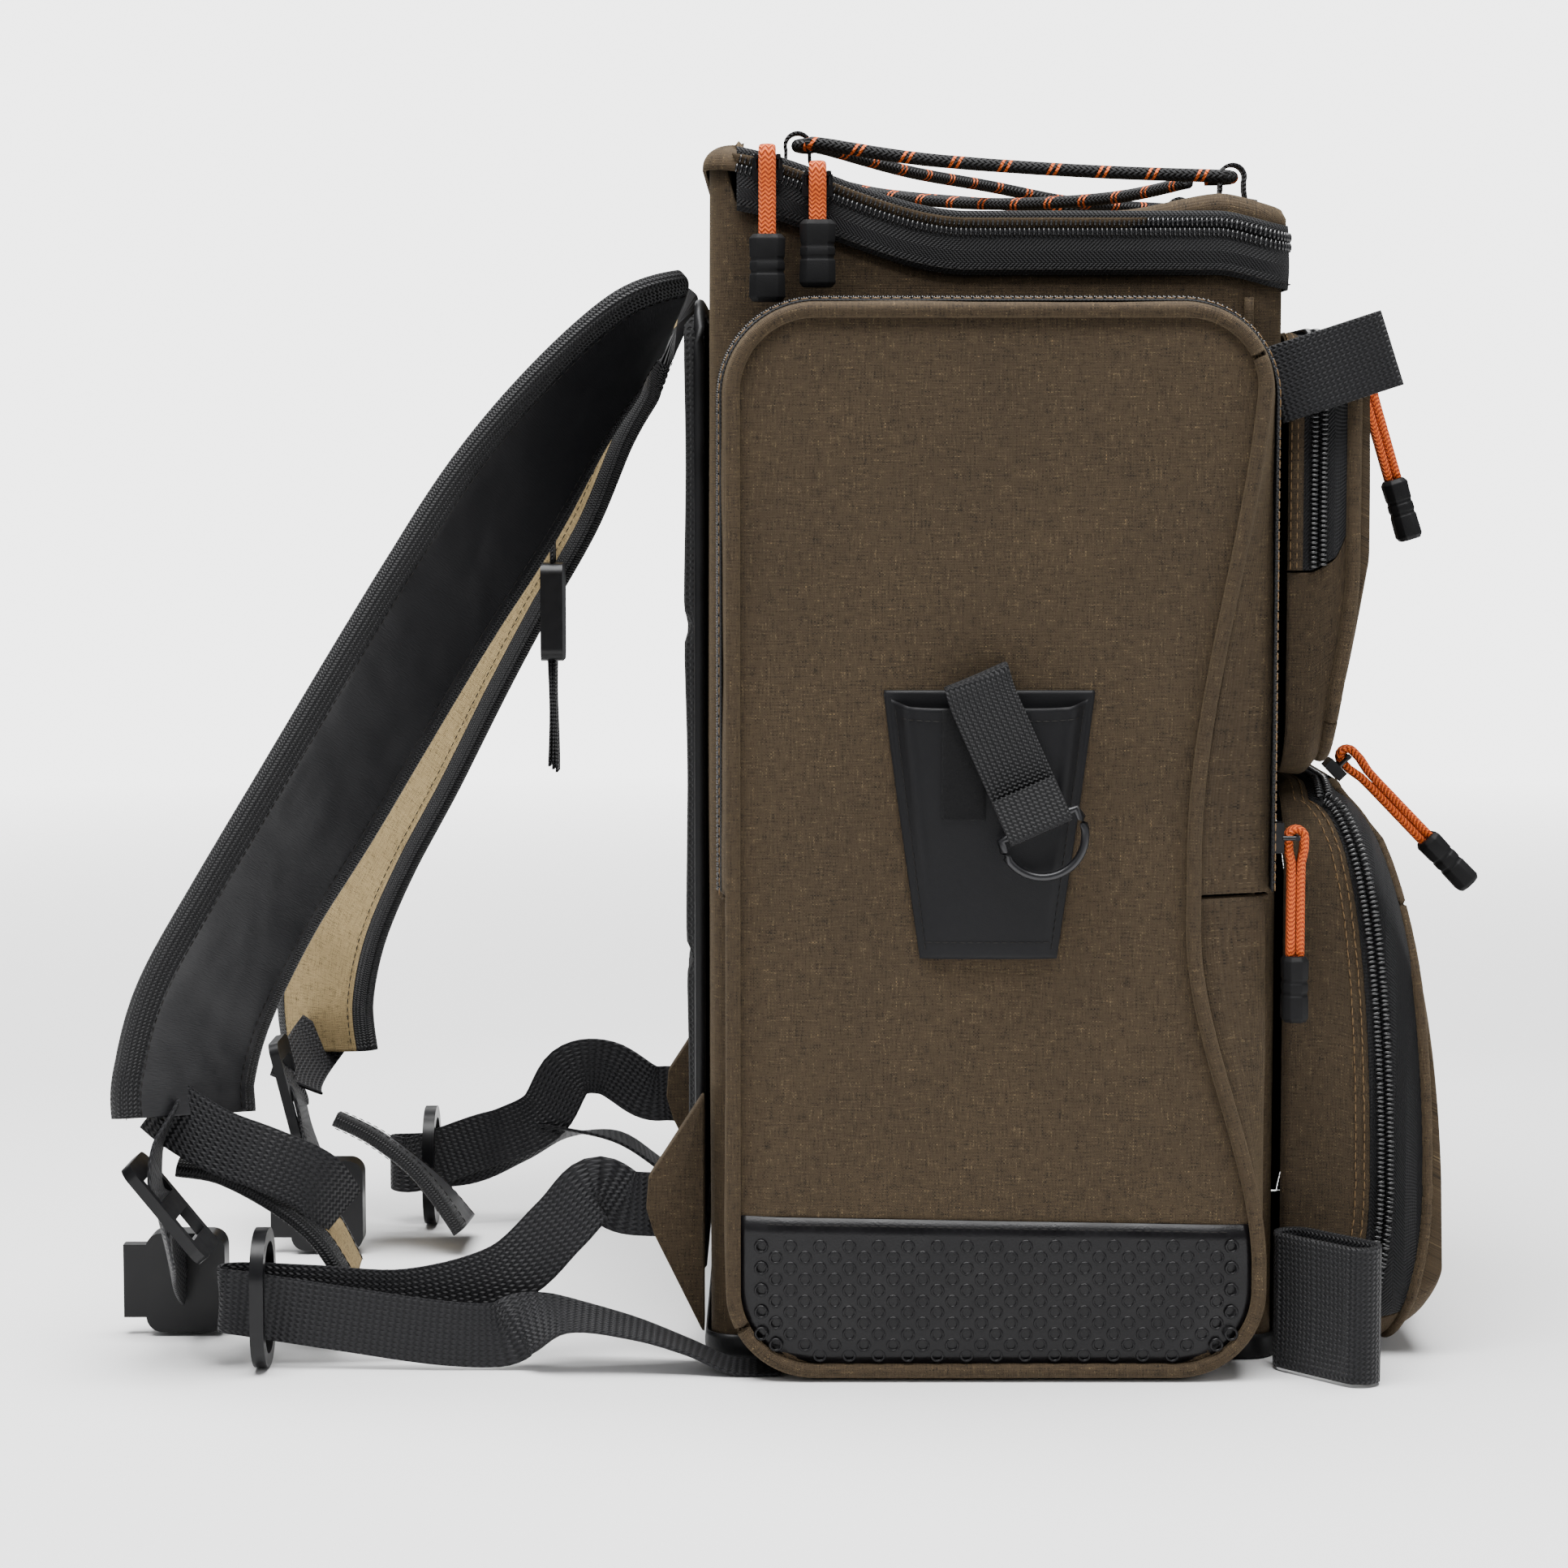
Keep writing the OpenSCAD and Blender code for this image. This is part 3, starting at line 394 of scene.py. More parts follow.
def wall_surface(low, high_of, out):
    """The compartment's wall: its outline carried up, swelling between its corners."""
    x, y, nx, ny = outline(around_body, 2 * HALF_W, 2 * HALF_D, CORNER, out)
    high = high_of(y)
    z = low + up_wall[:, None] * (high - low)[None, :]
    flat_run = 1 - np.clip(np.abs(x) / (HALF_W - CORNER), 0,
                           1) ** 6 * np.clip(np.abs(y) / (HALF_D - CORNER), 0, 1) ** 6
    swell = np.sin(np.pi * up_wall)[:, None] ** 0.5 * flat_run[None, :]
    push = -FULLNESS * (1 - swell) + 0.5 * ripple(x * ny - y * nx, z, 1.0, 70) * swell - 0.4
    place = np.stack([x + nx * push, y + ny * push, z], 2)
    run = around_body * (4 * (HALF_W + HALF_D) - 8 * CORNER + 2 * math.pi * CORNER)
    return place, np.stack([np.broadcast_to(run, z.shape), z], 2)


BACK_STOP = HALF_D - 11


def wall_top(y):
    """Height of the wall's top edge: under the zip's tape, and up to the rim at the back."""
    return rim_height(y) - 1.5 - (TAPE - 3) * ease((BACK_STOP + 3 - y) / 4)


place, flat = wall_surface(BODY_LOW[2], wall_top, 0.0)
walls = grid_piece("compartment_wall", place, flat, CANVAS, around=True, wall=WALL - 0.4)
fasten(walls, PACK, "canvas", "main_shell")
WELT = 1.7


def tube(route, radius, sides=10, closed=False, ends=True):
    """Grid of a round cord of that radius carried along a route, with run and girth as flat places.

    Each ring is turned into the plane across the route; the end rings shrink to a point.
    """
    ahead = np.roll(route, -1, 0) - np.roll(route, 1, 0) if closed else np.gradient(route, axis=0)
    ahead = ahead / np.linalg.norm(ahead, axis=1)[:, None]
    side = np.where(np.abs(ahead[:, 2:3]) < 0.9, np.array([[0.0, 0, 1]]), np.array([[0.0, 1, 0]]))
    side = side - (side * ahead).sum(1)[:, None] * ahead
    side = side / np.linalg.norm(side, axis=1)[:, None]
    other = np.cross(ahead, side)
    turn = np.linspace(0, 2 * math.pi, sides + 1)[:-1]
    size = np.full(len(route), radius, float)
    ring = (side[:, None] * np.cos(turn)[None, :, None] + other[:, None] * np.sin(turn)[None, :, None])
    place = route[:, None] + ring * size[:, None, None]
    run = np.concatenate([[0], np.cumsum(np.linalg.norm(np.diff(route, axis=0), axis=1))])
    if ends and not closed:
        place = np.concatenate([np.repeat(route[:1, None], sides, 1), place,
                                np.repeat(route[-1:, None], sides, 1)])
        run = np.concatenate([run[:1], run, run[-1:]])
    if closed:
        place = np.concatenate([place, place[:1]])
        run = np.concatenate([run, run[-1:] + np.linalg.norm(route[0] - route[-1])])
    girth = turn * radius
    flat = np.stack(np.broadcast_arrays(girth[None, :], run[:, None]), 2)
    return place, flat


def tube_piece(name, route, radius, material, sides=10, closed=False):
    """A round cord as one closed mesh."""
    place, flat = tube(np.asarray(route, float), radius, sides, closed)
    return grid_piece(name, place, flat, material, around=True, flip=True, weld=True)


CORNER_IN = 9
for side in (-1, 1):
    height = np.linspace(BODY_LOW[2] + 4, RIM - TAPE - 8, 70)
    route = np.stack([np.full(70, side * (HALF_W - 0.6)), np.full(70, -HALF_D + CORNER_IN + 6.0), height], 1)
    fasten(tube_piece(f"corner_welt_{'L' if side < 0 else 'R'}", route, WELT, CANVAS), PACK, "canvas")

# ---- Base panel
# Coated fabric bottom over a stiff board, its skirt turned up a few millimetres round the walls.
def coated_fabric(name, colour, rough=0.42, grain=900.0, coat=0.15):
    """Coated or moulded sheet: fine pebbled grain, slight gloss, scuffs that dull it."""
    made, tree, shader = new_material(name)
    place = put(tree, "ShaderNodeTexCoord").outputs["Object"]
    pebble = put(tree, "ShaderNodeTexVoronoi", {"Vector": place, "Scale": grain}).outputs["Distance"]
    scuff = put(tree, "ShaderNodeTexNoise", {"Vector": place, "Scale": 70.0, "Detail": 6.0}).outputs["Fac"]
    tone = blend_colour(tree, scuff, linear(colour, 0.75), linear(colour, 1.3))
    tree.links.new(tone, shader.inputs["Base Color"])
    dull = put(tree, "ShaderNodeMapRange", {"Value": scuff, "From Min": 0.3, "From Max": 0.75,
                                            "To Min": rough, "To Max": rough + 0.22}).outputs[0]
    tree.links.new(dull, shader.inputs["Roughness"])
    shader.inputs["Coat Weight"].default_value = coat
    shader.inputs["Coat Roughness"].default_value = 0.3
    shader.inputs["Specular IOR Level"].default_value = 0.16
    bump = put(tree, "ShaderNodeBump", {"Strength": 0.25, "Distance": 0.0002, "Height": pebble})
    tree.links.new(bump.outputs[0], shader.inputs["Normal"])
    return made


BASE_FABRIC = coated_fabric("base coated fabric", "#101011")
BOARD_PLASTIC = coated_fabric("stiffening board", "#19191b", 0.5, 500.0)
for node in ("base_panel", "base_board", "back_board"):
    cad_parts[node].data.materials.clear()
    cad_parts[node].data.materials.append(BASE_FABRIC if node == "base_panel" else BOARD_PLASTIC)
skirt_up = np.linspace(0, 9, 6)
x, y, nx, ny = outline(around_body, 2 * HALF_W, 2 * HALF_D, CORNER)
lean = 0.5 * np.sin(skirt_up / 9 * math.pi)[:, None]
place = np.stack([x + nx * lean, y + ny * lean, np.broadcast_to(skirt_up[:, None] + 0.2, (6, 240))], 2)
flat = np.stack(np.broadcast_arrays(around_body[None, :] * 900, skirt_up[:, None]), 2)
fasten(grid_piece("base_skirt", place, flat, BASE_FABRIC, around=True, wall=0.8), PACK, "base")

# ---- Lid zip
# Nylon coil zip on black herringbone tape. The lower tape is sewn to the wall, the upper one to
# the lid; it runs along both sides and round the front, and stops short of the back.
TAPE_BLACK = "#0c0c0d"


def zip_tape(name):
    """Herringbone nylon tape: ribs that lean one way then the other across the width, painted darker in their
    grooves and lighter on their crests as painted shade and highlight.
    """
    made, tree, shader = new_material(name)
    axes = put(tree, "ShaderNodeSeparateXYZ", {0: put(tree, "ShaderNodeTexCoord").outputs["UV"]}).outputs
    lean = calc(tree, "PINGPONG", axes[1], 0.0042)
    rib = calc(tree, "SINE", calc(tree, "MULTIPLY", calc(tree, "ADD", axes[0], lean), 2 * math.pi / 0.0015))
    fine = calc(tree, "SINE", calc(tree, "MULTIPLY", axes[1], 2 * math.pi / 0.0007))
    height = calc(tree, "ADD", rib, calc(tree, "MULTIPLY", fine, 0.3))
    share = put(tree, "ShaderNodeMapRange", {"Value": height, "From Min": -1.3, "From Max": 1.3}).outputs[0]
    # Colour follows the rib height: painted shade in the grooves and painted highlight on the crests of the
    # one black yarn.
    tree.links.new(blend_colour(tree, share, linear(TAPE_BLACK, 0.6), linear("#19191b", 1.1)),
                   shader.inputs["Base Color"])
    shader.inputs["Roughness"].default_value = 0.62
    shader.inputs["Sheen Weight"].default_value = 0.04
    shader.inputs["Specular IOR Level"].default_value = 0.22
    bump = put(tree, "ShaderNodeBump", {"Strength": 0.6, "Distance": 0.0003, "Height": height})
    tree.links.new(bump.outputs[0], shader.inputs["Normal"])
    return made


def plain_nylon(name, colour, rough=0.35, spec=0.5):
    """Moulded or extruded nylon: even colour, soft gloss, faint flow marks."""
    made, tree, shader = new_material(name)
    place = put(tree, "ShaderNodeTexCoord").outputs["Object"]
    marks = put(tree, "ShaderNodeTexNoise", {"Vector": place, "Scale": 240.0, "Detail": 4.0}).outputs["Fac"]
    tree.links.new(blend_colour(tree, marks, linear(colour, 0.8), linear(colour, 1.25)),
                   shader.inputs["Base Color"])
    level = put(tree, "ShaderNodeMapRange", {"Value": marks, "To Min": rough - 0.08, "To Max": rough + 0.1})
    tree.links.new(level.outputs[0], shader.inputs["Roughness"])
    shader.inputs["Specular IOR Level"].default_value = spec
    bump = put(tree, "ShaderNodeBump", {"Strength": 0.12, "Distance": 0.0002, "Height": marks})
    tree.links.new(bump.outputs[0], shader.inputs["Normal"])
    return made


ZIP_TAPE = zip_tape("zip tape")
COIL_NYLON = plain_nylon("zip coil nylon", "#111113", 0.28, 0.8)
TOOTH_PITCH = 1.75


def repeat_shape(points, faces, origins, first, second, third):
    """One small shape set at many places: its x, y and z follow the three directions given there."""
    spread = (points[None, :, 0, None] * first[:, None] + points[None, :, 1, None] * second[:, None]
              + points[None, :, 2, None] * third[:, None])
    every = origins[:, None] + spread
    shift = np.arange(len(origins))[:, None, None] * len(points)
    return every.reshape(-1, 3), (faces[None] + shift).reshape(-1, faces.shape[1])


def bead(length, width, height, rings=4, sides=6):
    """A small rounded bar along x: rings of an ellipse that swell from a blunt end and back."""
    along = np.linspace(-1, 1, rings)
    size = (1 - np.abs(along) ** 3 * 0.5)
    turn = np.linspace(0, 2 * math.pi, sides + 1)[:-1]
    grid = np.stack(np.broadcast_arrays(along[:, None] * length / 2,
                                        size[:, None] * np.cos(turn) * width / 2,
                                        size[:, None] * np.sin(turn) * height / 2), 2)
    ends = np.array([[-length / 2 - 0.1, 0, 0], [length / 2 + 0.1, 0, 0]])
    points = np.concatenate([grid.reshape(-1, 3), ends])
    r, c = (axis.ravel() for axis in np.meshgrid(np.arange(rings - 1), np.arange(sides), indexing="ij"))
    quads = np.stack([r * sides + c, r * sides + (c + 1) % sides,
                      (r + 1) * sides + (c + 1) % sides, (r + 1) * sides + c], 1)
    c = np.arange(sides)
    first, last = rings * sides, rings * sides + 1
    low = np.stack([np.full(sides, first), (c + 1) % sides, c, c], 1)[:, :3]
    high = np.stack([np.full(sides, last), (rings - 1) * sides + c, (rings - 1) * sides + (c + 1) % sides], 1)
    return points, quads[:, ::-1], np.concatenate([low, high])[:, ::-1]


def bead_rows(name, material, shape, origins, first, second, third):
    """Many beads as one mesh: quads along each bar and triangles over its ends."""
    points, quads, tips = shape
    every, faces = repeat_shape(points, quads, origins, first, second, third)
    closed = (tips[None] + np.arange(len(origins))[:, None, None] * len(points)).reshape(-1, 3)
    mesh = bpy.data.meshes.new(name)
    mesh.vertices.add(len(every))
    mesh.vertices.foreach_set("co", (every * MM).ravel())
    corners = np.concatenate([faces.ravel(), closed.ravel()])
    mesh.loops.add(len(corners))
    mesh.loops.foreach_set("vertex_index", corners.astype(np.int32))
    starts = np.concatenate([np.arange(len(faces)) * 4, faces.size + np.arange(len(closed)) * 3])
    mesh.polygons.add(len(starts))
    mesh.polygons.foreach_set("loop_start", starts.astype(np.int32))
    mesh.update(calc_edges=True)
    mesh.polygons.foreach_set("use_smooth", np.ones(len(starts), bool))
    mesh.materials.append(material)
    made = bpy.data.objects.new(name, mesh)
    bpy.context.scene.collection.objects.link(made)
    return made


def spaced(route, pitch, start=0.0):
    """Places at even steps along a route, with the direction there."""
    step = np.linalg.norm(np.diff(route, axis=0), axis=1)
    run = np.concatenate([[0], np.cumsum(step)])
    at = np.arange(start, run[-1], pitch)
    place = np.stack([np.interp(at, run, route[:, k]) for k in range(3)], 1)
    later = np.stack([np.interp(at + 0.3, run, route[:, k]) for k in range(3)], 1)
    sooner = np.stack([np.interp(at - 0.3, run, route[:, k]) for k in range(3)], 1)
    ahead = later - sooner
    return place, ahead / np.linalg.norm(ahead, axis=1)[:, None], at / run[-1]


def teeth_row(name, route, outward, toward, half):
    """One side of a coil zip: bars that reach from the middle line towards their own tape."""
    place, ahead, share = spaced(route, TOOTH_PITCH, 0.4 + (0 if half < 0 else TOOTH_PITCH / 2))
    index = share * (len(route) - 1)
    out = np.stack([np.interp(index, np.arange(len(route)), outward[:, k]) for k in range(3)], 1)
    aside = np.cross(out, ahead)
    aside = aside / np.linalg.norm(aside, axis=1)[:, None]
    tape_way = np.stack([np.interp(index, np.arange(len(route)), toward[:, k]) for k in range(3)], 1)
    aside = aside * np.sign((aside * tape_way).sum(1))[:, None]
    origins = place + aside * 1.75 + out * 0.75
    shape = bead(3.1, 1.15, 1.7)
    return bead_rows(name, COIL_NYLON, shape, origins, aside, np.cross(out, aside), out)


def band(route, toward, outward, low, high, rows=5, swell=0.0):
    """A flat strip beside a route: rows spaced from low to high along toward, swelling outward."""
    share = np.linspace(0, 1, rows)
    away = low + (high - low) * share
    lift = swell * np.sin(share * math.pi)
    place = route[None] + away[:, None, None] * toward[None] + lift[:, None, None] * outward[None]
    run = np.concatenate([[0], np.cumsum(np.linalg.norm(np.diff(route, axis=0), axis=1))])
    return place, np.stack(np.broadcast_arrays(run[None, :], away[:, None]), 2)


lid_run = np.linspace(0, 1, 900)
x, y, nx, ny = outline(lid_run, 2 * HALF_W, 2 * HALF_D, CORNER)
keep = y < BACK_STOP
x, y, nx, ny = (axis[keep] for axis in (x, y, nx, ny))
rim_route = np.stack([x, y, rim_height(y)], 1)
rim_out = np.stack([nx, ny, np.zeros_like(nx)], 1)
up_way = np.broadcast_to(np.array([0.0, 0, 1]), rim_route.shape)
place, flat = band(rim_route, up_way, rim_out, -TAPE, -0.2, 7, 0.4)
fasten(grid_piece("lid_zip_tape_low", place + 0.35 * rim_out[None], flat, ZIP_TAPE, wall=0.7), PACK,
       "tape", "body_zip")
fasten(teeth_row("lid_zip_coil_low", rim_route, rim_out, -up_way, -1), PACK, "tape")
LID = "lid"
place, flat = band(rim_route, up_way, rim_out, 0.2, 6.0, 4, 0.2)
fasten(grid_piece("lid_zip_tape_high", place + 0.1 * rim_out[None], flat, ZIP_TAPE, wall=0.7), LID, "tape",
       "lid_zip")
fasten(teeth_row("lid_zip_coil_high", rim_route, rim_out, up_way, 1), LID, "tape")


def stitch_row(name, route, outward, material, pitch=3.6, length=2.7, thick=0.55, lift=0.15):
    """A line of machine stitches: short rounded bars pulled a little into the cloth."""
    place, ahead, share = spaced(route, pitch, pitch / 2)
    index = share * (len(route) - 1)
    out = np.stack([np.interp(index, np.arange(len(route)), outward[:, k]) for k in range(3)], 1)
    aside = np.cross(out, ahead)
    return bead_rows(name, material, bead(length, thick, thick, 3, 5), place + lift * out, ahead, aside, out)


THREAD_DARK = plain_nylon("dark thread", "#100d0a", 0.6, 0.3)
THREAD_BROWN = plain_nylon("brown thread", "#6e5638", 0.6, 0.3)
low_line = rim_route - np.array([0, 0, TAPE - 2.0]) + 0.9 * rim_out
fasten(stitch_row("lid_zip_stitches", low_line, rim_out, THREAD_DARK), PACK, "tape")

# ---- Lid
# Canvas panel with turned-down edges, higher round the rim than in the middle where it sags.
LID_RISE = 6.5
LID_SAG = 4.5


def lid_height(y):
    """Height of the lid's edge above the zip, a little more towards the front."""
    return rim_height(y) + LID_RISE + 7 * ease((-y - 0.38 * HALF_D) / (0.42 * HALF_D))


EDGE_ROUND = 5.0
around_lid = np.linspace(0, 1, 241)[:-1]
inward = np.concatenate([np.linspace(0, 0.06, 5)[:-1], np.linspace(0.06, 1, 46)])
grow = 1 - inward
x, y, nx, ny = outline(around_lid, 2 * HALF_W, 2 * HALF_D, CORNER, -0.6)
lid_x = x[None] * grow[:, None]
lid_y = y[None] * grow[:, None]
edge = np.clip((1 - grow)[:, None] * HALF_D / EDGE_ROUND, 0, 1)
turned = np.sqrt(1 - (1 - edge) ** 2)
sag = LID_SAG * (1 - (lid_x / HALF_W) ** 2) * (1 - (lid_y / HALF_D) ** 2)
lid_z = lid_height(lid_y) - EDGE_ROUND * (1 - turned) - sag + 0.7 * ripple(lid_x, lid_y, 2.0, 75) * turned
skirt = np.linspace(0, 1, 4)[:-1]
down = np.stack([np.broadcast_to(x, (3, 240)), np.broadcast_to(y, (3, 240)),
                 (rim_height(y) + 3.4)[None] + skirt[:, None] * (lid_z[0] - rim_height(y) - 3.4)[None]], 2)
place = np.concatenate([down, np.stack([lid_x, lid_y, lid_z], 2)])
place[..., 1] = np.minimum(place[..., 1], HALF_D - 12.4)
flat = np.concatenate([np.stack([x[None] + nx[None] * (5 - 5 * skirt[:, None]),
                                 y[None] + ny[None] * (5 - 5 * skirt[:, None])], 2),
                       np.stack([lid_x, lid_y], 2)])
hinge_share = np.mod(np.linspace(-0.2, 0.2, 321), 1)
hx, hy, hnx, hny = outline(hinge_share, 2 * HALF_W, 2 * HALF_D, CORNER)
at_back = hy > BACK_STOP - 2
hx, hy, hnx, hny = hx[at_back], hy[at_back], hnx[at_back], hny[at_back]
fold_turn = np.linspace(0, math.pi / 2, 14)[:, None]
hinge_in = 15 * (1 - np.cos(fold_turn)) - 0.6
hinge_foot = rim_height(hy) - 3.0
hinge_z = hinge_foot + (lid_height(hy - hinge_in) + 0.9 - hinge_foot) * np.sin(fold_turn) ** 0.8
hinge_place = np.stack([hx - hnx * hinge_in, hy - hny * hinge_in, hinge_z], 2)
hinge_flat = np.stack(np.broadcast_arrays(hx[None], hinge_z), 2)
hinge = grid_piece("lid_hinge_canvas", hinge_place, hinge_flat, CANVAS, wall=1.2)
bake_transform(hinge)
lid = grid_piece("lid_canvas", place, flat, CANVAS, around=True, wall=2.0, weld=True)
fasten(lid, LID, "canvas", "lid_panel")

# ---- Side pockets
# A canvas face and a gusset about 33 mm deep, joined by corded piping. A coil zip runs up the
# middle of the gusset, over the top and down again to a seam; the face itself rides no body.
FLAP_OUT = 33
POCKET_R = 32
SEAM_UP = 176
ZIP_OUT = 18
PIPING = 2.7
BOW = 25.0


def arch(wide, low, high, radius, count, foot):
    """The part of a rounded rectangle above foot, from its back foot over the top to the front one.

    Returns the two in-plane places and the outward direction.
    """
    a, b, na, nb = outline(np.linspace(0.5, 1.5, 6 * count), wide, high - low, radius)
    b = b + (high + low) / 2
    # outline runs clockwise from the middle of the top, so half a turn later starts at the bottom
    keep = b > foot
    a, b, na, nb = a[keep], b[keep], na[keep], nb[keep]
    run = np.concatenate([[0], np.cumsum(np.hypot(np.diff(a), np.diff(b)))])
    even = np.linspace(0, run[-1], count)
    a, b, na, nb = (np.interp(even, run, axis) for axis in (a, b, na, nb))
    size = np.hypot(na, nb)
    return a, b, na / size, nb / size


def closed_outline(wide, low, high, radius, count):
    """The whole rounded rectangle at even steps, from the middle of its top, clockwise."""
    a, b, na, nb = outline(np.linspace(0, 1, count + 1)[:-1], wide, high - low, radius)
    return a, b + (high + low) / 2, na, nb


def face_bow(y, z):
    """How far the face's front edge is drawn back: the slack zip lets it bow in at mid height."""
    rise = ease((z - 40) / 125) * (1 - ease((z - 190) / 190))
    return BOW * rise * ease((-y - 20) / 78)


POCKET_MID = 0.5
POCKET_W = 195
POCKET_TOP = 386
FACE_X = HALF_W + FLAP_OUT


def face_grid(rows, columns, wide, low, high, radius):
    """Places over a rounded rectangle, row by row: each row is as wide as the outline there."""
    rise = 0.5 - 0.5 * np.cos(np.linspace(0, math.pi, rows))
    rise = 0.35 * rise + 0.65 * np.linspace(0, 1, rows)
    z = low + (high - low) * rise
    from_end = np.minimum(z - low, high - z)
    dip = np.clip(radius - from_end, 0, radius)
    half = wide / 2 - radius + np.sqrt(radius ** 2 - dip ** 2)
    across = np.linspace(-1, 1, columns)
    return across[None] * half[:, None], np.broadcast_to(z[:, None], (rows, columns)), across


def creases(a, b, strength, seed):
    """Long soft folds in slack cloth: narrow ridges that wander along one direction."""
    wave = a / 33 + 0.9 * np.sin(b / 47 + seed) + 0.5 * np.sin(b / 19 + 2 * seed)
    return strength * (1 - np.abs(np.sin(wave)) ** 0.6) * (0.5 + 0.5 * np.sin(b / 71 + a / 90 + seed))


def side_pocket(side):
    """Everything of one side pocket's cloth; side is -1 for the wearer's left and 1 for the right."""
    tag = "L" if side < 0 else "R"
    flap = "side_flap_" + tag
    a, z, across = face_grid(120, 90, POCKET_W - 2 * PIPING, 1 + PIPING, POCKET_TOP - PIPING + 1,
                             POCKET_R - PIPING)
    y = a + POCKET_MID
    y = y + face_bow(y, z)
    from_edge = np.minimum(1 - np.abs(across)[None], np.minimum(z - 1, POCKET_TOP - z) / 95)
    full = ease(np.clip(from_edge / 0.16, 0, 1))
    puff = 1.7 * full + 0.9 * ripple(y, z, 3.0 + side, 95) * full
    hang = creases(-y * 0.7 + z * 0.25, z, 1.5, 2.0) * ease((-y - 10) / 60) * ease((z - 60) / 60) * full
    hang = hang + creases(z + y * 0.3, y, 1.1, 4.0) * ease((z - 320) / 40) * full
    place = np.stack([side * (FACE_X - 2.2 + puff + hang), y, z], 2)
    flat = np.stack([y, z], 2)
    face = grid_piece(f"side_pocket_face_{tag}", place, flat, CANVAS, wall=1.2, flip=side > 0)
    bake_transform(face)
    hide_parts("side_flap_" + tag, "side_tray_" + tag)

    a, z, na, nb = closed_outline(POCKET_W - 2 * PIPING, 1 + PIPING, POCKET_TOP - PIPING + 1,
                                  POCKET_R - PIPING, 520)
    y = a + POCKET_MID
    y = y + face_bow(y, z)
    route = np.stack([np.full(520, side * (FACE_X - 0.7)), y, z], 1)
    piping = tube_piece(f"side_piping_{tag}", route, PIPING, CANVAS, 12, closed=True)
    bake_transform(piping)

    def ring(zone, x_in, x_out, lift, count=300):
        """Gusset cloth between two depths, over the zipped arch or round the closed foot."""
        if zone == "arch":
            a, z, na, nb = arch(POCKET_W - 1, 1, POCKET_TOP, POCKET_R, count, SEAM_UP)
        else:
            a, z, na, nb = outline(np.linspace(0.0, 1.0, 6 * count), POCKET_W - 1, POCKET_TOP - 1, POCKET_R)
            z = z + (POCKET_TOP + 1) / 2
            keep = z <= SEAM_UP
            a, z, na, nb = (axis[keep][::6] for axis in (a, z, na, nb))
        y = a + POCKET_MID
        x = np.linspace(x_in, x_out, 9)
        share = (x - HALF_W) / FLAP_OUT
        puffed = lift * np.sin(np.clip(share, 0, 1) * math.pi)[:, None]
        draw = face_bow(y, z)[None] * ease((share - 0.54) / 0.46)[:, None]
        settle = 0.5 * ripple(z[None] + y[None], x[:, None], 5.0, 40)
        place = np.stack([np.broadcast_to(side * x[:, None], puffed.shape[:1] + y.shape),
                          y[None] + na[None] * (puffed + settle) + draw,
                          z[None] + nb[None] * (puffed + settle)], 2)
        run = np.concatenate([[0], np.cumsum(np.hypot(np.diff(y), np.diff(z)))])
        return place, np.stack(np.broadcast_arrays(run[None], x[:, None]), 2)

    place, flat = ring("foot", HALF_W - 0.5, FACE_X - 1.2, 0.8)
    low = grid_piece(f"side_gusset_low_{tag}", place, flat, CANVAS_PAINTED_SHADE, wall=1.2, flip=side < 0)
    fasten(low, PACK, "canvas")
    place, flat = ring("arch", HALF_W - 0.5, HALF_W + ZIP_OUT - 0.3, 2.2)
    fasten(grid_piece(f"side_gusset_in_{tag}", place, flat, CANVAS_PAINTED_SHADE, wall=1.2, flip=side < 0), PACK,
           "canvas")
    place, flat = ring("arch", HALF_W + ZIP_OUT + 0.3, FACE_X - 1.2, 2.2)
    fasten(grid_piece(f"side_gusset_out_{tag}", place, flat, CANVAS_PAINTED_SHADE, wall=1.2, flip=side < 0), flap,
           "canvas")

    a, z, na, nb = arch(POCKET_W - 1, 1, POCKET_TOP, POCKET_R, 500, SEAM_UP + 1)
    out = np.stack([np.zeros(500), na, nb], 1)
    route = np.stack([np.full(500, side * (HALF_W + ZIP_OUT)), a + POCKET_MID, z], 1) + 2.4 * out
    away = np.broadcast_to(np.array([side * 1.0, 0, 0]), route.shape)
    fasten(teeth_row(f"side_coil_in_{tag}", route, out, -away, -1), PACK, "tape")
    fasten(teeth_row(f"side_coil_out_{tag}", route, out, away, 1), flap, "tape")
    for half, body in ((-1, PACK), (1, flap)):
        strip, strip_flat = band(route - 0.25 * out, half * away, out, 0.3, 6.6, 4)
        strip[-1] -= 0.5 * out
        fasten(grid_piece(f"side_tape_{'in' if half < 0 else 'out'}_{tag}", strip, strip_flat, ZIP_TAPE,
                          wall=0.5, flip=half * side > 0), body, "tape")
        line = route + half * away * 8.2 + 0.15 * out
        fasten(stitch_row(f"side_zip_stitches_{'in' if half < 0 else 'out'}_{tag}", line, out, THREAD_BROWN),
               body, "canvas")
    edge = np.linspace(0, 1, 40)
    for end in (-1, 1):
        y_end = POCKET_MID + end * (POCKET_W - 1) / 2
        bar = np.stack([side * (HALF_W + 3 + 27 * edge), np.full(40, y_end + end * 0.8),
                        np.full(40, SEAM_UP - 1.5)], 1)
        bar[:, 1] += face_bow(np.full(40, y_end),
                              np.full(40, float(SEAM_UP))) * ease((edge - 0.5) / 0.5) * (end < 0)
        fasten(tube_piece(f"side_zip_seam_{'front' if end < 0 else 'back'}_{tag}", bar, 1.0, CANVAS_PAINTED_SHADE, 8),
               PACK, "canvas")


for side in (-1, 1):
    side_pocket(side)

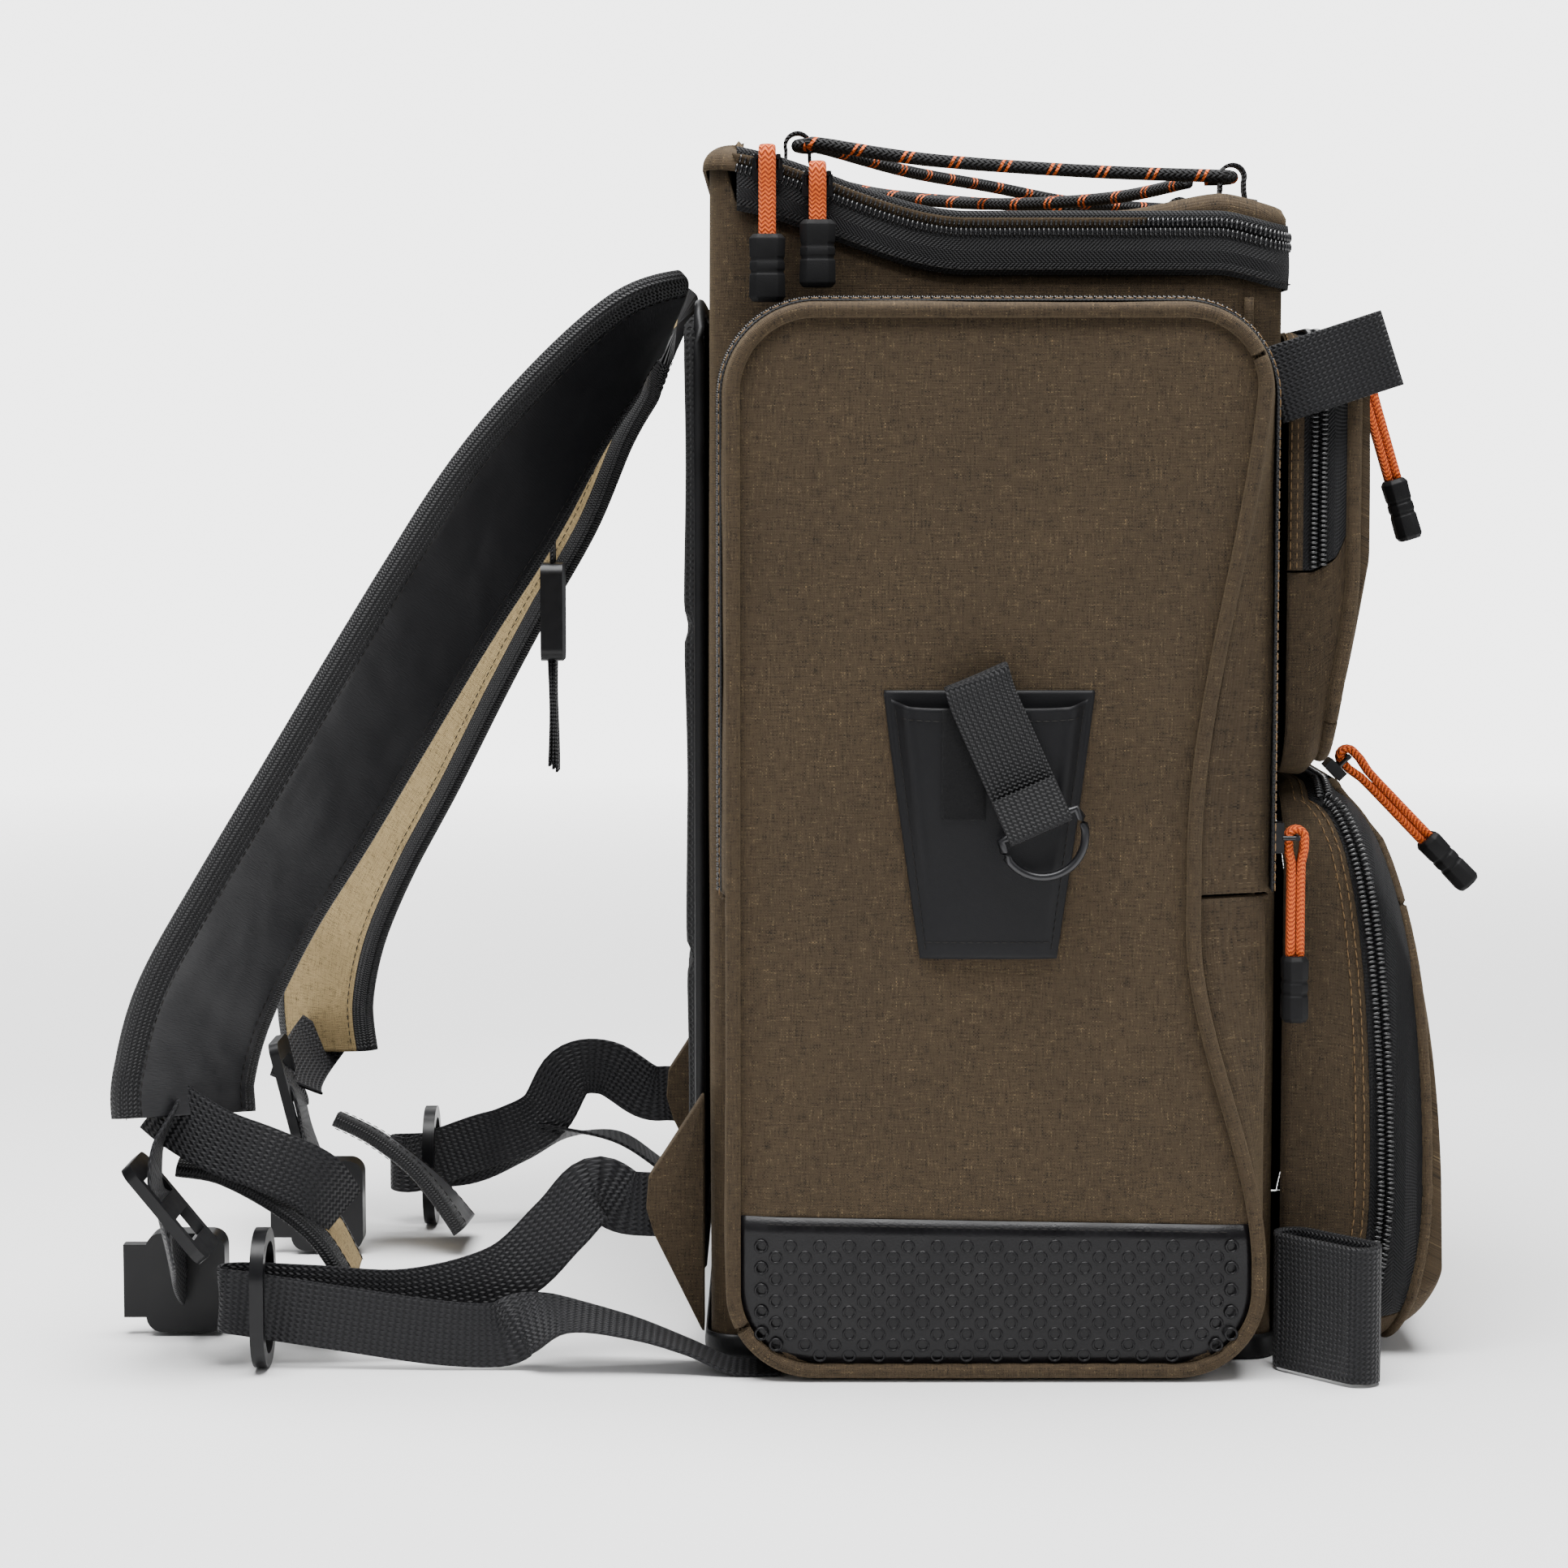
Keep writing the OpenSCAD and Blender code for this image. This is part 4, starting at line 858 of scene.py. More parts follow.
# ---- Moulded panel along the foot of each side pocket
# Glossy black coated fabric with small raised rings, sewn on along its top edge.
KICK_TOP = 57
KICK_FABRIC = coated_fabric("moulded ring panel", "#0d0c0e", 0.27, 1300.0, 0.14)
RING_R = 2.1
RING_PITCH = (5.3, 8.0)


def kick_panel(side):
    """The coated panel on the pocket's face, its rings as thin half-sunk hoops, and its stitches."""
    tag = "L" if side < 0 else "R"
    inset = PIPING * 2 - 0.4
    a, z, across = face_grid(60, 70, POCKET_W - 2 * inset, 1 + inset, POCKET_TOP - inset, POCKET_R - inset)
    keep = z[:, 0] < KICK_TOP
    a, z = a[keep], z[keep]
    y = a + POCKET_MID
    y = y + face_bow(y, z)
    top = z[-1, 0]
    z = z + (z - z[0, 0]) / (top - z[0, 0]) * (KICK_TOP + 0.018 * (y + 97) - top)
    from_edge = np.minimum(1 - np.abs(across)[None], (z - 1) / 95)
    full = ease(np.clip(from_edge / 0.16, 0, 1))
    swell = 1.7 * full + 0.9 * ripple(y, z, 3.0 + side, 95) * full
    x = FACE_X - 2.2 + swell + 0.9
    place = np.stack([side * x, y, z], 2)
    sheet = grid_piece(f"kick_panel_{tag}", place, np.stack([y, z], 2), KICK_FABRIC, wall=0.9, flip=side > 0)
    fasten(sheet, PACK, "kick", "kick_" + tag)
    columns = np.arange(-17, 18)
    rows = np.arange(0, 7)
    c, r = (axis.ravel() for axis in np.meshgrid(columns, rows, indexing="ij"))
    ring_y = POCKET_MID + c * RING_PITCH[0]
    ring_z = 9.5 + r * RING_PITCH[1] + (c % 2) * RING_PITCH[1] / 2
    low_edge = POCKET_R - np.sqrt(np.clip(POCKET_R ** 2 - np.clip(np.abs(ring_y - POCKET_MID) - 65.5, 0,
                                                                  31) ** 2, 0, None))
    inside = (ring_z > low_edge + 8.5) & (ring_z < KICK_TOP - 5) & (np.abs(ring_y - POCKET_MID) < 89)
    ring_y, ring_z = ring_y[inside], ring_z[inside]
    turn, tube_turn = np.linspace(0, 2 * math.pi, 13)[:-1], np.radians([-10, 60, 120, 190])
    t, q = (axis.ravel() for axis in np.meshgrid(turn, tube_turn, indexing="ij"))
    reach = RING_R + 0.5 * np.cos(q)
    hoop = np.stack([0.5 * np.sin(q), reach * np.cos(t), reach * np.sin(t)], 1)
    i, j = (axis.ravel() for axis in np.meshgrid(np.arange(12), np.arange(3), indexing="ij"))
    quads = np.stack([i * 4 + j, i * 4 + j + 1, (i + 1) % 12 * 4 + j + 1, (i + 1) % 12 * 4 + j], 1)
    flat_y = (ring_y - POCKET_MID) / (POCKET_W / 2)
    edge_share = np.minimum(1 - np.abs(flat_y), (ring_z - 1) / 95)
    full = ease(np.clip(edge_share / 0.16, 0, 1))
    ring_x = FACE_X - 1.3 + 1.7 * full + 0.9 * ripple(ring_y, ring_z, 3.0 + side, 95) * full + 0.02
    origins = np.stack([side * ring_x, ring_y, ring_z], 1)
    ones = np.ones((len(origins), 1))
    every, faces = repeat_shape(hoop, quads if side < 0 else quads[:, ::-1], origins, ones * [[side, 0, 0]],
                                ones * [[0, 1, 0]], ones * [[0, 0, 1]])
    fasten(mesh_piece(f"kick_rings_{tag}", every, faces, None, KICK_FABRIC), PACK, "kick")
    line = place[-1] + np.array([side * 0.3, 0, -2.6])
    out = np.broadcast_to(np.array([side * 1.0, 0, 0]), line.shape)
    fasten(stitch_row(f"kick_stitches_{tag}", line[3:-3], out[3:-3], THREAD_DARK, 3.4, 2.5, 0.5), PACK,
           "kick")


for side in (-1, 1):
    kick_panel(side)
# ---- Pliers sheath
# A flat pocket of smooth coated fabric on the left face, wider at its mouth, with pleated sides,
# stitched down its edges and foot. A strip of hook tape is sewn on its front.
SHEATH_MID = 4.0
SHEATH_TOP = (75.0, 250.0)
SHEATH_FOOT = (49.0, 154.0)
SHEATH_FABRIC = coated_fabric("sheath coated fabric", "#101012", 0.42, 2600.0, 0.03)
LEFT_FLAP = "side_flap_L"


def hook_tape(name):
    """Hook-and-loop pile: dense short fibres that take no gloss."""
    made, tree, shader = new_material(name)
    place = put(tree, "ShaderNodeTexCoord").outputs["Object"]
    fibre = put(tree, "ShaderNodeTexNoise", {"Vector": place, "Scale": 1500.0, "Detail": 5.0}).outputs["Fac"]
    tree.links.new(blend_colour(tree, fibre, linear("#050506"), linear("#151516")),
                   shader.inputs["Base Color"])
    shader.inputs["Roughness"].default_value = 0.95
    shader.inputs["Sheen Weight"].default_value = 0.04
    shader.inputs["Specular IOR Level"].default_value = 0.22
    bump = put(tree, "ShaderNodeBump", {"Strength": 0.8, "Distance": 0.0005, "Height": fibre})
    tree.links.new(bump.outputs[0], shader.inputs["Normal"])
    return made


HOOK_TAPE = hook_tape("hook and loop tape")
rows, columns = 60, 61
rise = np.linspace(0, 1, rows)[:, None]
across = np.linspace(-1, 1, columns)[None]
half = (SHEATH_FOOT[0] + (SHEATH_TOP[0] - SHEATH_FOOT[0]) * rise) / 2
y = SHEATH_MID + half * across
z = SHEATH_FOOT[1] + (SHEATH_TOP[1] - 6 - SHEATH_FOOT[1]) * rise + 2.5 * np.abs(across) ** 8 * rise ** 4 * 2
full = (2.2 + 4.6 * rise ** 0.7) * (1 - np.abs(across) ** 4)
pleat = 1.5 * rise * np.sin(np.clip((np.abs(across) - 0.72) / 0.28, 0, 1) * 2 * math.pi)
x = -(FACE_X + 0.6 + full + pleat + 0.35 * ripple(y, z, 6.0, 30) * (1 - across ** 2))
front = np.stack(np.broadcast_arrays(x, y, z), 2)
flat = np.stack(np.broadcast_arrays(y, z), 2)
fasten(grid_piece("sheath_front", front, flat, SHEATH_FABRIC, wall=1.0), LEFT_FLAP, "sheath", "sheath")
back_z = SHEATH_FOOT[1] + (SHEATH_TOP[1] - SHEATH_FOOT[1]) * rise + 0 * across
back = np.stack(np.broadcast_arrays(-(FACE_X + 0.75) + 0 * across, SHEATH_MID + half * across, back_z), 2)
fasten(grid_piece("sheath_back", back, flat, SHEATH_FABRIC, wall=0.9), LEFT_FLAP, "sheath")
left_way = np.array([-1.0, 0, 0])
for column in (3, columns - 4):
    line = front[2:-2, column]
    fasten(stitch_row(f"sheath_stitches_{column}", line, np.broadcast_to(left_way, line.shape), THREAD_DARK,
                      3.0, 2.2, 0.5), LEFT_FLAP, "sheath")
for row in (4, rows - 4):
    line = front[row, 4:-4]
    fasten(stitch_row(f"sheath_hem_{row}", line, np.broadcast_to(left_way, line.shape), THREAD_DARK, 3.0,
                      2.2, 0.5),
           LEFT_FLAP, "sheath")
patch_y, patch_z = np.meshgrid(np.linspace(5.5, 21, 12), np.linspace(204, 243.5, 24))
deep = np.interp(patch_z, z[:, columns // 2], -x[:, columns // 2])
place = np.stack([-(deep + 0.7), patch_y, patch_z], 2)
fasten(grid_piece("sheath_hook_patch", place, np.stack([patch_y, patch_z], 2), HOOK_TAPE, wall=0.9),
       LEFT_FLAP, "sheath")

# ---- Webbing strap and D-ring of the sheath
# Ribbed nylon webbing sewn above the sheath, hanging over it at a slant and turned round the ring.
WEB_W = 24.0
WEB_T = 1.6


def webbing(name, gain=1.0, rib=0.00155):
    """Nylon webbing: rows of ribs across the strap, each broken into small floats, with a low sheen; the ribs
    are painted lighter on top and darker between as painted highlight and shade.
    """
    made, tree, shader = new_material(name)
    axes = put(tree, "ShaderNodeSeparateXYZ", {0: put(tree, "ShaderNodeTexCoord").outputs["UV"]}).outputs
    across_wave = calc(tree, "SINE", calc(tree, "MULTIPLY", axes[0], 2 * math.pi / 0.0019))
    rib_wave = calc(tree, "SINE", calc(tree, "ADD", calc(tree, "MULTIPLY", axes[1], 2 * math.pi / rib),
                                       calc(tree, "MULTIPLY", across_wave, 1.1)))
    height = calc(tree, "ADD", rib_wave, calc(tree, "MULTIPLY", across_wave, 0.35))
    share = put(tree, "ShaderNodeMapRange", {"Value": height, "From Min": -1.3, "From Max": 1.3}).outputs[0]
    # Colour follows the rib height: painted shade between the ribs and painted highlight on their tops, over
    # one black yarn.
    tree.links.new(blend_colour(tree, share, linear("#040406", gain), linear("#171719", gain)),
                   shader.inputs["Base Color"])
    shader.inputs["Roughness"].default_value = 0.52
    shader.inputs["Sheen Weight"].default_value = 0.04
    shader.inputs["Specular IOR Level"].default_value = 0.22
    bump = put(tree, "ShaderNodeBump", {"Strength": 0.75, "Distance": 0.0004, "Height": height})
    tree.links.new(bump.outputs[0], shader.inputs["Normal"])
    return made


WEBBING = webbing("black webbing")


def through(points, per=8):
    """A smooth line through hand-set points: each stretch is a cubic set by its four neighbours."""
    points = np.asarray(points, float)
    padded = np.concatenate([points[:1], points, points[-1:]])
    t = np.linspace(0, 1, per + 1)[:-1, None]
    a, b, c, d = (padded[k:len(points) - 1 + k, None] for k in range(4))
    line = 0.5 * (2 * b + (c - a) * t + (2 * a - 5 * b + 4 * c - d) * t ** 2
                  + (3 * b - a - 3 * c + d) * t ** 3)
    return np.concatenate([line.reshape(-1, points.shape[1]), points[-1:]])


def frame_of(route, wide):
    """Direction ahead, width direction made square to it, and the face's outward direction."""
    ahead = np.gradient(route, axis=0)
    ahead = ahead / np.linalg.norm(ahead, axis=1)[:, None]
    across = wide - (wide * ahead).sum(1)[:, None] * ahead
    across = across / np.linalg.norm(across, axis=1)[:, None]
    return ahead, across, np.cross(ahead, across)


def oval(wide, thick, count=24, square=0.22, soft=0.7):
    """A flat rounded section: an ellipse whose sides are drawn out towards a rectangle."""
    turn = -np.linspace(0, 2 * math.pi, count + 1)[:-1]
    return np.stack([wide / 2 * np.sign(np.cos(turn)) * np.abs(np.cos(turn)) ** square,
                     thick / 2 * np.sign(np.sin(turn)) * np.abs(np.sin(turn)) ** soft], 1)


def loft(route, wide, section, lift=None):
    """Carries a section along a route; its ends shrink to a point. lift moves each point outward."""
    ahead, across, out = frame_of(route, wide)
    place = (route[:, None] + section[None, :, 0, None] * across[:, None] + section[None, :, 1,
                                                                                    None] * out[:, None])
    if lift is not None:
        place = place + lift[..., None] * out[:, None]
    run = np.concatenate([[0], np.cumsum(np.linalg.norm(np.diff(route, axis=0), axis=1))])
    girth = np.concatenate([[0], np.cumsum(np.linalg.norm(np.diff(section, axis=0), axis=1))])
    count = len(section)
    place = np.concatenate([np.repeat(place[:1].mean(1, keepdims=True), count, 1), place,
                            np.repeat(place[-1:].mean(1, keepdims=True), count, 1)])
    run = np.concatenate([run[:1], run, run[-1:]])
    return place, np.stack(np.broadcast_arrays(girth[None], run[:, None]), 2)


def strap_piece(name, route, wide, material, width=WEB_W, thick=WEB_T):
    """A flat woven strap as one closed mesh."""
    place, flat = loft(np.asarray(route, float), np.asarray(wide, float), oval(width, thick, 28, 0.12, 0.5))
    return grid_piece(name, place, flat, material, around=True, weld=True)


LEAN = math.radians(24)
FLAP_X = -170.1
FLAP_LEN = 54
down_way = np.array([0, -math.sin(LEAN), -math.cos(LEAN)])
over_way = np.array([0, math.cos(LEAN), -math.sin(LEAN)])
top_point = np.array([FLAP_X, 9, 252.4])
ring_centre = np.array([FLAP_X - 1.5, 9, 252.4]) + FLAP_LEN * down_way
loop_turn = np.radians(np.linspace(20, -200, 12))
around_bar = ring_centre + np.stack([2.4 * np.cos(loop_turn)], 1) * np.array([[1.0, 0, 0]]) \
    - np.stack([2.4 * np.sin(loop_turn)], 1) * down_way[None]
points = np.concatenate([[[-162.2, 9.1, 254.2], [-164.5, 9, 255.2], [-167.5, 8.9, 255.0],
                          [-169.9, 8.6, 253.4]], [top_point + down_way * d for d in (6, 16, 28, 40, 49)],
                         around_bar[3:10],
                         [top_point + np.array([-3.6, 0, 0]) + down_way * d for d in (46, 40)]])
route = through(points, 5)
wide = np.broadcast_to(over_way, route.shape)
fasten(strap_piece("sheath_webbing", route, wide, WEBBING), "sheath_strap", "webbing", "sheath_strap")
HARD_METAL = plain_nylon("dark painted steel", "#19191c", 0.34, 0.9)
HARD_METAL.node_tree.nodes["Principled BSDF"].inputs["Metallic"].default_value = 0.55
RING_HALF = 15.0
sweep_turn = np.linspace(0, math.pi, 24)
legs = ring_centre + down_way * 4
hoop = [legs + over_way * RING_HALF * math.cos(t) + down_way * RING_HALF * math.sin(t) for t in sweep_turn]
bar = [ring_centre + over_way * d for d in np.linspace(-RING_HALF + 0.5, RING_HALF - 0.5, 12)]
d_ring = tube_piece("sheath_d_ring", np.array(hoop + bar), 1.5, HARD_METAL, 12, closed=True)
fasten(d_ring, "d_ring", "ring_metal", "d_ring")

# ---- Front pockets
# Two canvas pockets on the front. Each has a gusset, a coil zip on wide black tape and a face,
# which rides no body; the lower one swells forwards, the upper one tapers towards its foot.
POCKET_HALF = 125.0


def stacked(x0, share_up, depth, low_of, high_of):
    """Places on a pocket built of rounded outlines stacked forwards, each between its own heights."""
    low, high = low_of(depth), high_of(depth)
    return np.stack(np.broadcast_arrays(x0, -HALF_D - depth, low + (high - low) * share_up), -1)


def depth_where(share_up, line_of, low_of, high_of, deepest):
    """The depth at which each column of the stack meets a line given as depth against height."""
    trial = np.linspace(2, deepest, 240)[:, None]
    z = low_of(trial) + (high_of(trial) - low_of(trial)) * share_up[None]
    over = trial >= line_of(z)
    return trial[np.argmax(over, 0), 0]


def front_pocket(tag, low, high, radius, deepest, low_of, high_of, zip_of, edge_of, fold, piping, cad, puff):
    """One front pocket: gusset, zip tapes, coils, piping, stitches and the face."""
    pack_node, flap_node, flap = cad
    count = 900
    x0, z0, nx, nz = outline(np.linspace(0.5, 1.5, count), 2 * POCKET_HALF, high - low, radius)
    share_up = z0 / (high - low) + 0.5
    zip_depth = depth_where(share_up, zip_of, low_of, high_of, deepest)
    edge_depth = np.maximum(depth_where(share_up, edge_of, low_of, high_of, deepest), zip_depth + 2)
    out = np.stack([nx, np.zeros(count), nz], 1)

    def patch(first, last, rows, columns, swell=0.0):
        share = np.linspace(0, 1, rows)[:, None]
        depth = first[None, columns] + (last - first)[None, columns] * share
        place = stacked(x0[None, columns], share_up[None, columns], depth, low_of, high_of)
        place = place + (swell * np.sin(share * math.pi))[..., None] * out[None, columns]
        run = np.concatenate([[0], np.cumsum(np.linalg.norm(np.diff(place[0], axis=0), axis=1))])
        return place, np.stack(np.broadcast_arrays(run[None], depth), 2)

    zip_z = stacked(x0, share_up, zip_depth, low_of, high_of)[:, 2]
    zipped = np.flatnonzero(zip_z > fold)
    foot = np.flatnonzero(zip_z <= fold)
    foot = foot[foot < count // 2], foot[foot >= count // 2]
    rear = np.zeros(count)
    tape_in = zip_depth - 5.5
    place, flat = patch(rear, tape_in + 0.6, 10, zipped, 1.2)
    fasten(grid_piece(f"{tag}_gusset", place, flat, CANVAS_PAINTED_SHADE, wall=1.2), PACK, "canvas", *pack_node)
    place, flat = patch(tape_in, zip_depth - 0.2, 5, zipped)
    fasten(grid_piece(f"{tag}_tape_in", place + 0.3 * out[None, zipped], flat, ZIP_TAPE, wall=1.0), PACK,
           "tape")
    place, flat = patch(zip_depth + 0.2, edge_depth, 9, zipped, 0.4)
    fasten(grid_piece(f"{tag}_tape_out", place + 0.2 * out[None, zipped], flat, ZIP_TAPE, wall=1.0), flap,
           "tape",
           *flap_node)
    for part, columns in (("left", foot[0]), ("right", foot[1])):
        if len(columns) > 2:
            place, flat = patch(rear, edge_depth, 14, columns, 0.8)
            fasten(grid_piece(f"{tag}_gusset_foot_{part}", place, flat, CANVAS_PAINTED_SHADE, wall=1.2), PACK,
                   "canvas")
    line = stacked(x0, share_up, zip_depth, low_of, high_of)[zipped] + 1.2 * out[zipped]
    _, toward, _ = frame_of(line, np.broadcast_to(np.array([0, -1.0, 0]), line.shape))
    fasten(teeth_row(f"{tag}_coil_in", line, out[zipped], -toward, -1), PACK, "tape")
    fasten(teeth_row(f"{tag}_coil_out", line, out[zipped], toward, 1), flap, "tape")
    for back_by in (2.2, 5.4):
        seam = stacked(x0, share_up, np.maximum(tape_in - back_by, 1), low_of,
                       high_of)[zipped] + 0.9 * out[zipped]
        fasten(stitch_row(f"{tag}_stitches_{int(back_by)}", seam, out[zipped], THREAD_BROWN), PACK, "canvas")

    inner = np.concatenate([np.zeros(1), np.linspace(0, 1, 44)[1:] ** 0.9])
    edge_ring = stacked(x0, share_up, edge_depth, low_of, high_of)
    climb = np.linspace(0, 1, 26)[:, None]
    depth = edge_depth[None] + (deepest - edge_depth)[None] * np.sin(climb * math.pi / 2)
    dome = stacked(x0[None], share_up[None], depth, low_of, high_of)
    middle = dome[-1].mean(0)
    shrink = 1 - inner[1:, None, None]
    cap = middle[None, None] + (dome[-1] - middle)[None] * shrink
    cap[..., 1] = dome[-1, 0, 1]
    face = np.concatenate([dome, cap])
    step = np.arange(len(face), dtype=float)
    firm = ease(step / 10)[:, None]
    face[..., 1] -= firm * (puff * (1 + ripple(face[..., 0], face[..., 2], 7.0 + fold / 100, 80)) * 0.5)
    flat = np.stack([face[..., 0], face[..., 2] - 0.5 * face[..., 1]], 2)
    made = grid_piece(f"{tag}_face", face[:, ::2], flat[:, ::2], CANVAS, around=True, wall=1.3, weld=True)
    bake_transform(made)
    cord = tube_piece(f"{tag}_piping", edge_ring[:-1] + 0.4 * out[:-1] - np.array([0, 0.3, 0]), piping,
                      CANVAS, 12, closed=True)
    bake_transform(cord)


UP_LOW, UP_HIGH, UP_DEEP, UP_FOLD = 216.0, 377.0, 28.6, 292.0
front_pocket(
    "front_up", UP_LOW, UP_HIGH, 25.0, UP_DEEP,
    lambda d: UP_LOW + 8 * ease((d - 8) / 10) + 62 * np.clip((d - 17) / (UP_DEEP - 17), 0, 1) ** 1.3,
    lambda d: UP_HIGH - 10 + 10 * np.sqrt(1 - np.clip((d - UP_DEEP + 10) / 10.01, 0, 1) ** 2),
    lambda z: 11 + 0 * z, lambda z: 23.5 - 8 * ease((UP_FOLD - z) / 70), UP_FOLD, 2.7,
    (("front_up_tray",), ("front_up_flap",), "front_up_flap"), 1.5)

LOW_HIGH, LOW_DEEP, LOW_MID, LOW_FOLD = 212.0, 59.0, 62.0, 14.0


def low_top(d):
    """Height of the lower pocket's top edge at a depth: level, then an ellipse down to mid height."""
    return LOW_MID + (LOW_HIGH - LOW_MID) * np.sqrt(1 - np.clip((d - 16) / (LOW_DEEP - 15.9), 0, 1) ** 2)


def low_bottom(d):
    """Height of its foot at a depth: on the floor, then a quarter circle of 30 mm."""
    return 0.6 + 29 - 29 * np.sqrt(1 - np.clip((d - 29) / 30.05, 0, 1) ** 2)


def swell_line(back, reach, top):
    """Depth of a line up the pocket's side: furthest forward at mid height, back at both ends."""
    def line(z):
        upper = reach * np.sqrt(1 - np.clip((z - LOW_MID) / (top - LOW_MID), 0, 1) ** 2)
        lower = reach - 13 * np.clip((LOW_MID - z) / LOW_MID, 0, 1) ** 2
        return back + np.where(z > LOW_MID, upper, lower)
    return line


front_pocket("front_low", 0.6, LOW_HIGH, 30.0, LOW_DEEP, low_bottom, low_top, swell_line(16, 22.5, 206.0),
             swell_line(22, 32.0, 209.0), LOW_FOLD, 1.9,
             (("front_low_tray", "front_low_zip"), ("front_low_flap", "front_low_flap_zip"),
              "front_low_flap"), 2.4)

# ---- Front plate and foot tab
# A small pressed steel badge, left blank, riveted to the lower pocket, and a folded webbing tab.
PLATE_STEEL = plain_nylon("brushed steel plate", "#77797e", 0.3, 0.8)
PLATE_STEEL.node_tree.nodes["Principled BSDF"].inputs["Metallic"].default_value = 0.7


def finish_node(node, material, bevel=0.0):
    """Gives a hard CAD part its finish and rounds its edges a little."""
    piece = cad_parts[node]
    piece.data.materials.clear()
    piece.data.materials.append(material)
    if bevel:
        round_edges = piece.modifiers.new("edges", "BEVEL")
        round_edges.width = bevel * MM
        round_edges.segments = 3
        round_edges.limit_method = "ANGLE"


finish_node("front_plate", PLATE_STEEL, 0.5)
tab_turn = np.radians(np.linspace(90, -90, 9))
tab_route = np.stack([np.full(9, -60.0), -(HALF_D + LOW_DEEP) + 4 - 3.5 - 3.2 * np.cos(tab_turn),
                      26 + 3.2 * np.sin(tab_turn)], 1)
tab_route = np.concatenate([tab_route[:1] + [[0, 5, 1.5]], tab_route, tab_route[-1:] + [[0, 5, -1.5]]])
fasten(strap_piece("front_low_foot_tab", through(tab_route, 4),
                   np.array([1.0, 0, 0])[None] + 0 * through(tab_route, 4),
                   WEBBING, 20, 1.2), "front_low_flap", "webbing")

# ---- Zip sliders and pulls
# Painted zinc sliders with a wire bow. Each pull is a loop of flat orange braid through the bow,
# its two ends moulded into a faceted black rubber grip.
ZINC = plain_nylon("black painted zinc", "#101012", 0.32, 0.6)
ZINC.node_tree.nodes["Principled BSDF"].inputs["Metallic"].default_value = 0.4
for node in ("lid_slider_a", "lid_slider_b", "side_slider_L", "side_slider_R", "up_slider", "low_slider"):
    finish_node(node, ZINC, 0.5)


def braid(name, dark, light, pitch=0.0016, rough=0.6):
    """Flat or round braid: strands crossing in a fine herringbone along the cord, painted dark between the
    strands as painted shade.
    """
    made, tree, shader = new_material(name)
    axes = put(tree, "ShaderNodeSeparateXYZ", {0: put(tree, "ShaderNodeTexCoord").outputs["UV"]}).outputs
    zigzag = calc(tree, "PINGPONG", axes[0], 0.0013)
    strand = calc(tree, "SINE",
                  calc(tree, "MULTIPLY", calc(tree, "ADD", axes[1], zigzag), 2 * math.pi / pitch))
    share = put(tree, "ShaderNodeMapRange", {"Value": strand, "From Min": -1.0, "From Max": 0.6}).outputs[0]
    # Colour follows the strand wave: painted shade between the strands and painted highlight on their tops.
    tree.links.new(blend_colour(tree, share, linear(dark), linear(light)), shader.inputs["Base Color"])
    shader.inputs["Roughness"].default_value = rough
    shader.inputs["Sheen Weight"].default_value = 0.04
    shader.inputs["Specular IOR Level"].default_value = 0.22
    bump = put(tree, "ShaderNodeBump", {"Strength": 0.8, "Distance": 0.0004, "Height": strand})
    tree.links.new(bump.outputs[0], shader.inputs["Normal"])
    return made, tree, shader, axes


ORANGE_BRAID = braid("orange braid", "#8a2c08", "#e2641c")[0]
GRIP_RUBBER = coated_fabric("black rubber grip", "#101011", 0.5, 2400.0, 0.0)
GRIP = (13.0, 9.4, 24.0)
BRAID_W, BRAID_T, BOW_R = 6.2, 3.3, 2.9


def pull(tag, pin, out, down, length):
    """A loop of braid from the bow down into its rubber grip."""
    pin, out, down = (np.asarray(v, float) for v in (pin, out, down))
    side = np.cross(down, out)
    bend = np.radians(np.linspace(0, 180, 9))
    top = pin + BOW_R * (np.cos(bend)[:, None] * out - np.sin(bend)[:, None] * down)
    drop = np.linspace(length + 2, 4, 9)[:, None]
    pinch = BOW_R - (BOW_R - BRAID_T / 2) * ease((drop - 3) / 8)
    route = np.concatenate([pin + pinch * out + drop * down, top,
                            pin - pinch[::-1] * out + drop[::-1] * down])
    place, flat = loft(route, np.broadcast_to(side, route.shape), oval(BRAID_W, BRAID_T, 16, 0.5, 0.7))
    fasten(grid_piece(tag + "_braid", place, flat, ORANGE_BRAID, around=True, weld=True), tag, "pull_cord",
           tag)
    a, b, cut = GRIP[0] / 2, GRIP[1] / 2, 2.6
    ring = np.array([[a, b - cut], [a - cut, b], [cut - a, b], [-a, b - cut],
                     [-a, cut - b], [cut - a, -b], [a - cut, -b], [a, cut - b]])
    step = np.array([[0, 0.0], [0, 0.78], [1.6, 1], [8, 0.96], [8.5, 0.9], [9.5, 0.9], [10, 0.96],
                     [12.5, 0.97],
                     [13, 0.9], [14, 0.9], [14.5, 0.97], [GRIP[2] - 1.6, 1], [GRIP[2], 0.8], [GRIP[2], 0]])
    place = (pin + (length - 1 + step[:, :1]) * down)[:, None] + step[:, 1, None, None] * (
        ring[None, :, :1] * side + ring[None, :, 1:] * out)
    grip = grid_piece(tag + "_grip", place, np.zeros(place.shape[:2] + (2,)), GRIP_RUBBER, around=True,
                      weld=True,
                      flip=True)
    soften = grip.modifiers.new("edges", "BEVEL")
    soften.width, soften.segments, soften.limit_method = 0.5 * MM, 2, "ANGLE"
    fasten(grip, tag, "pull_cord")


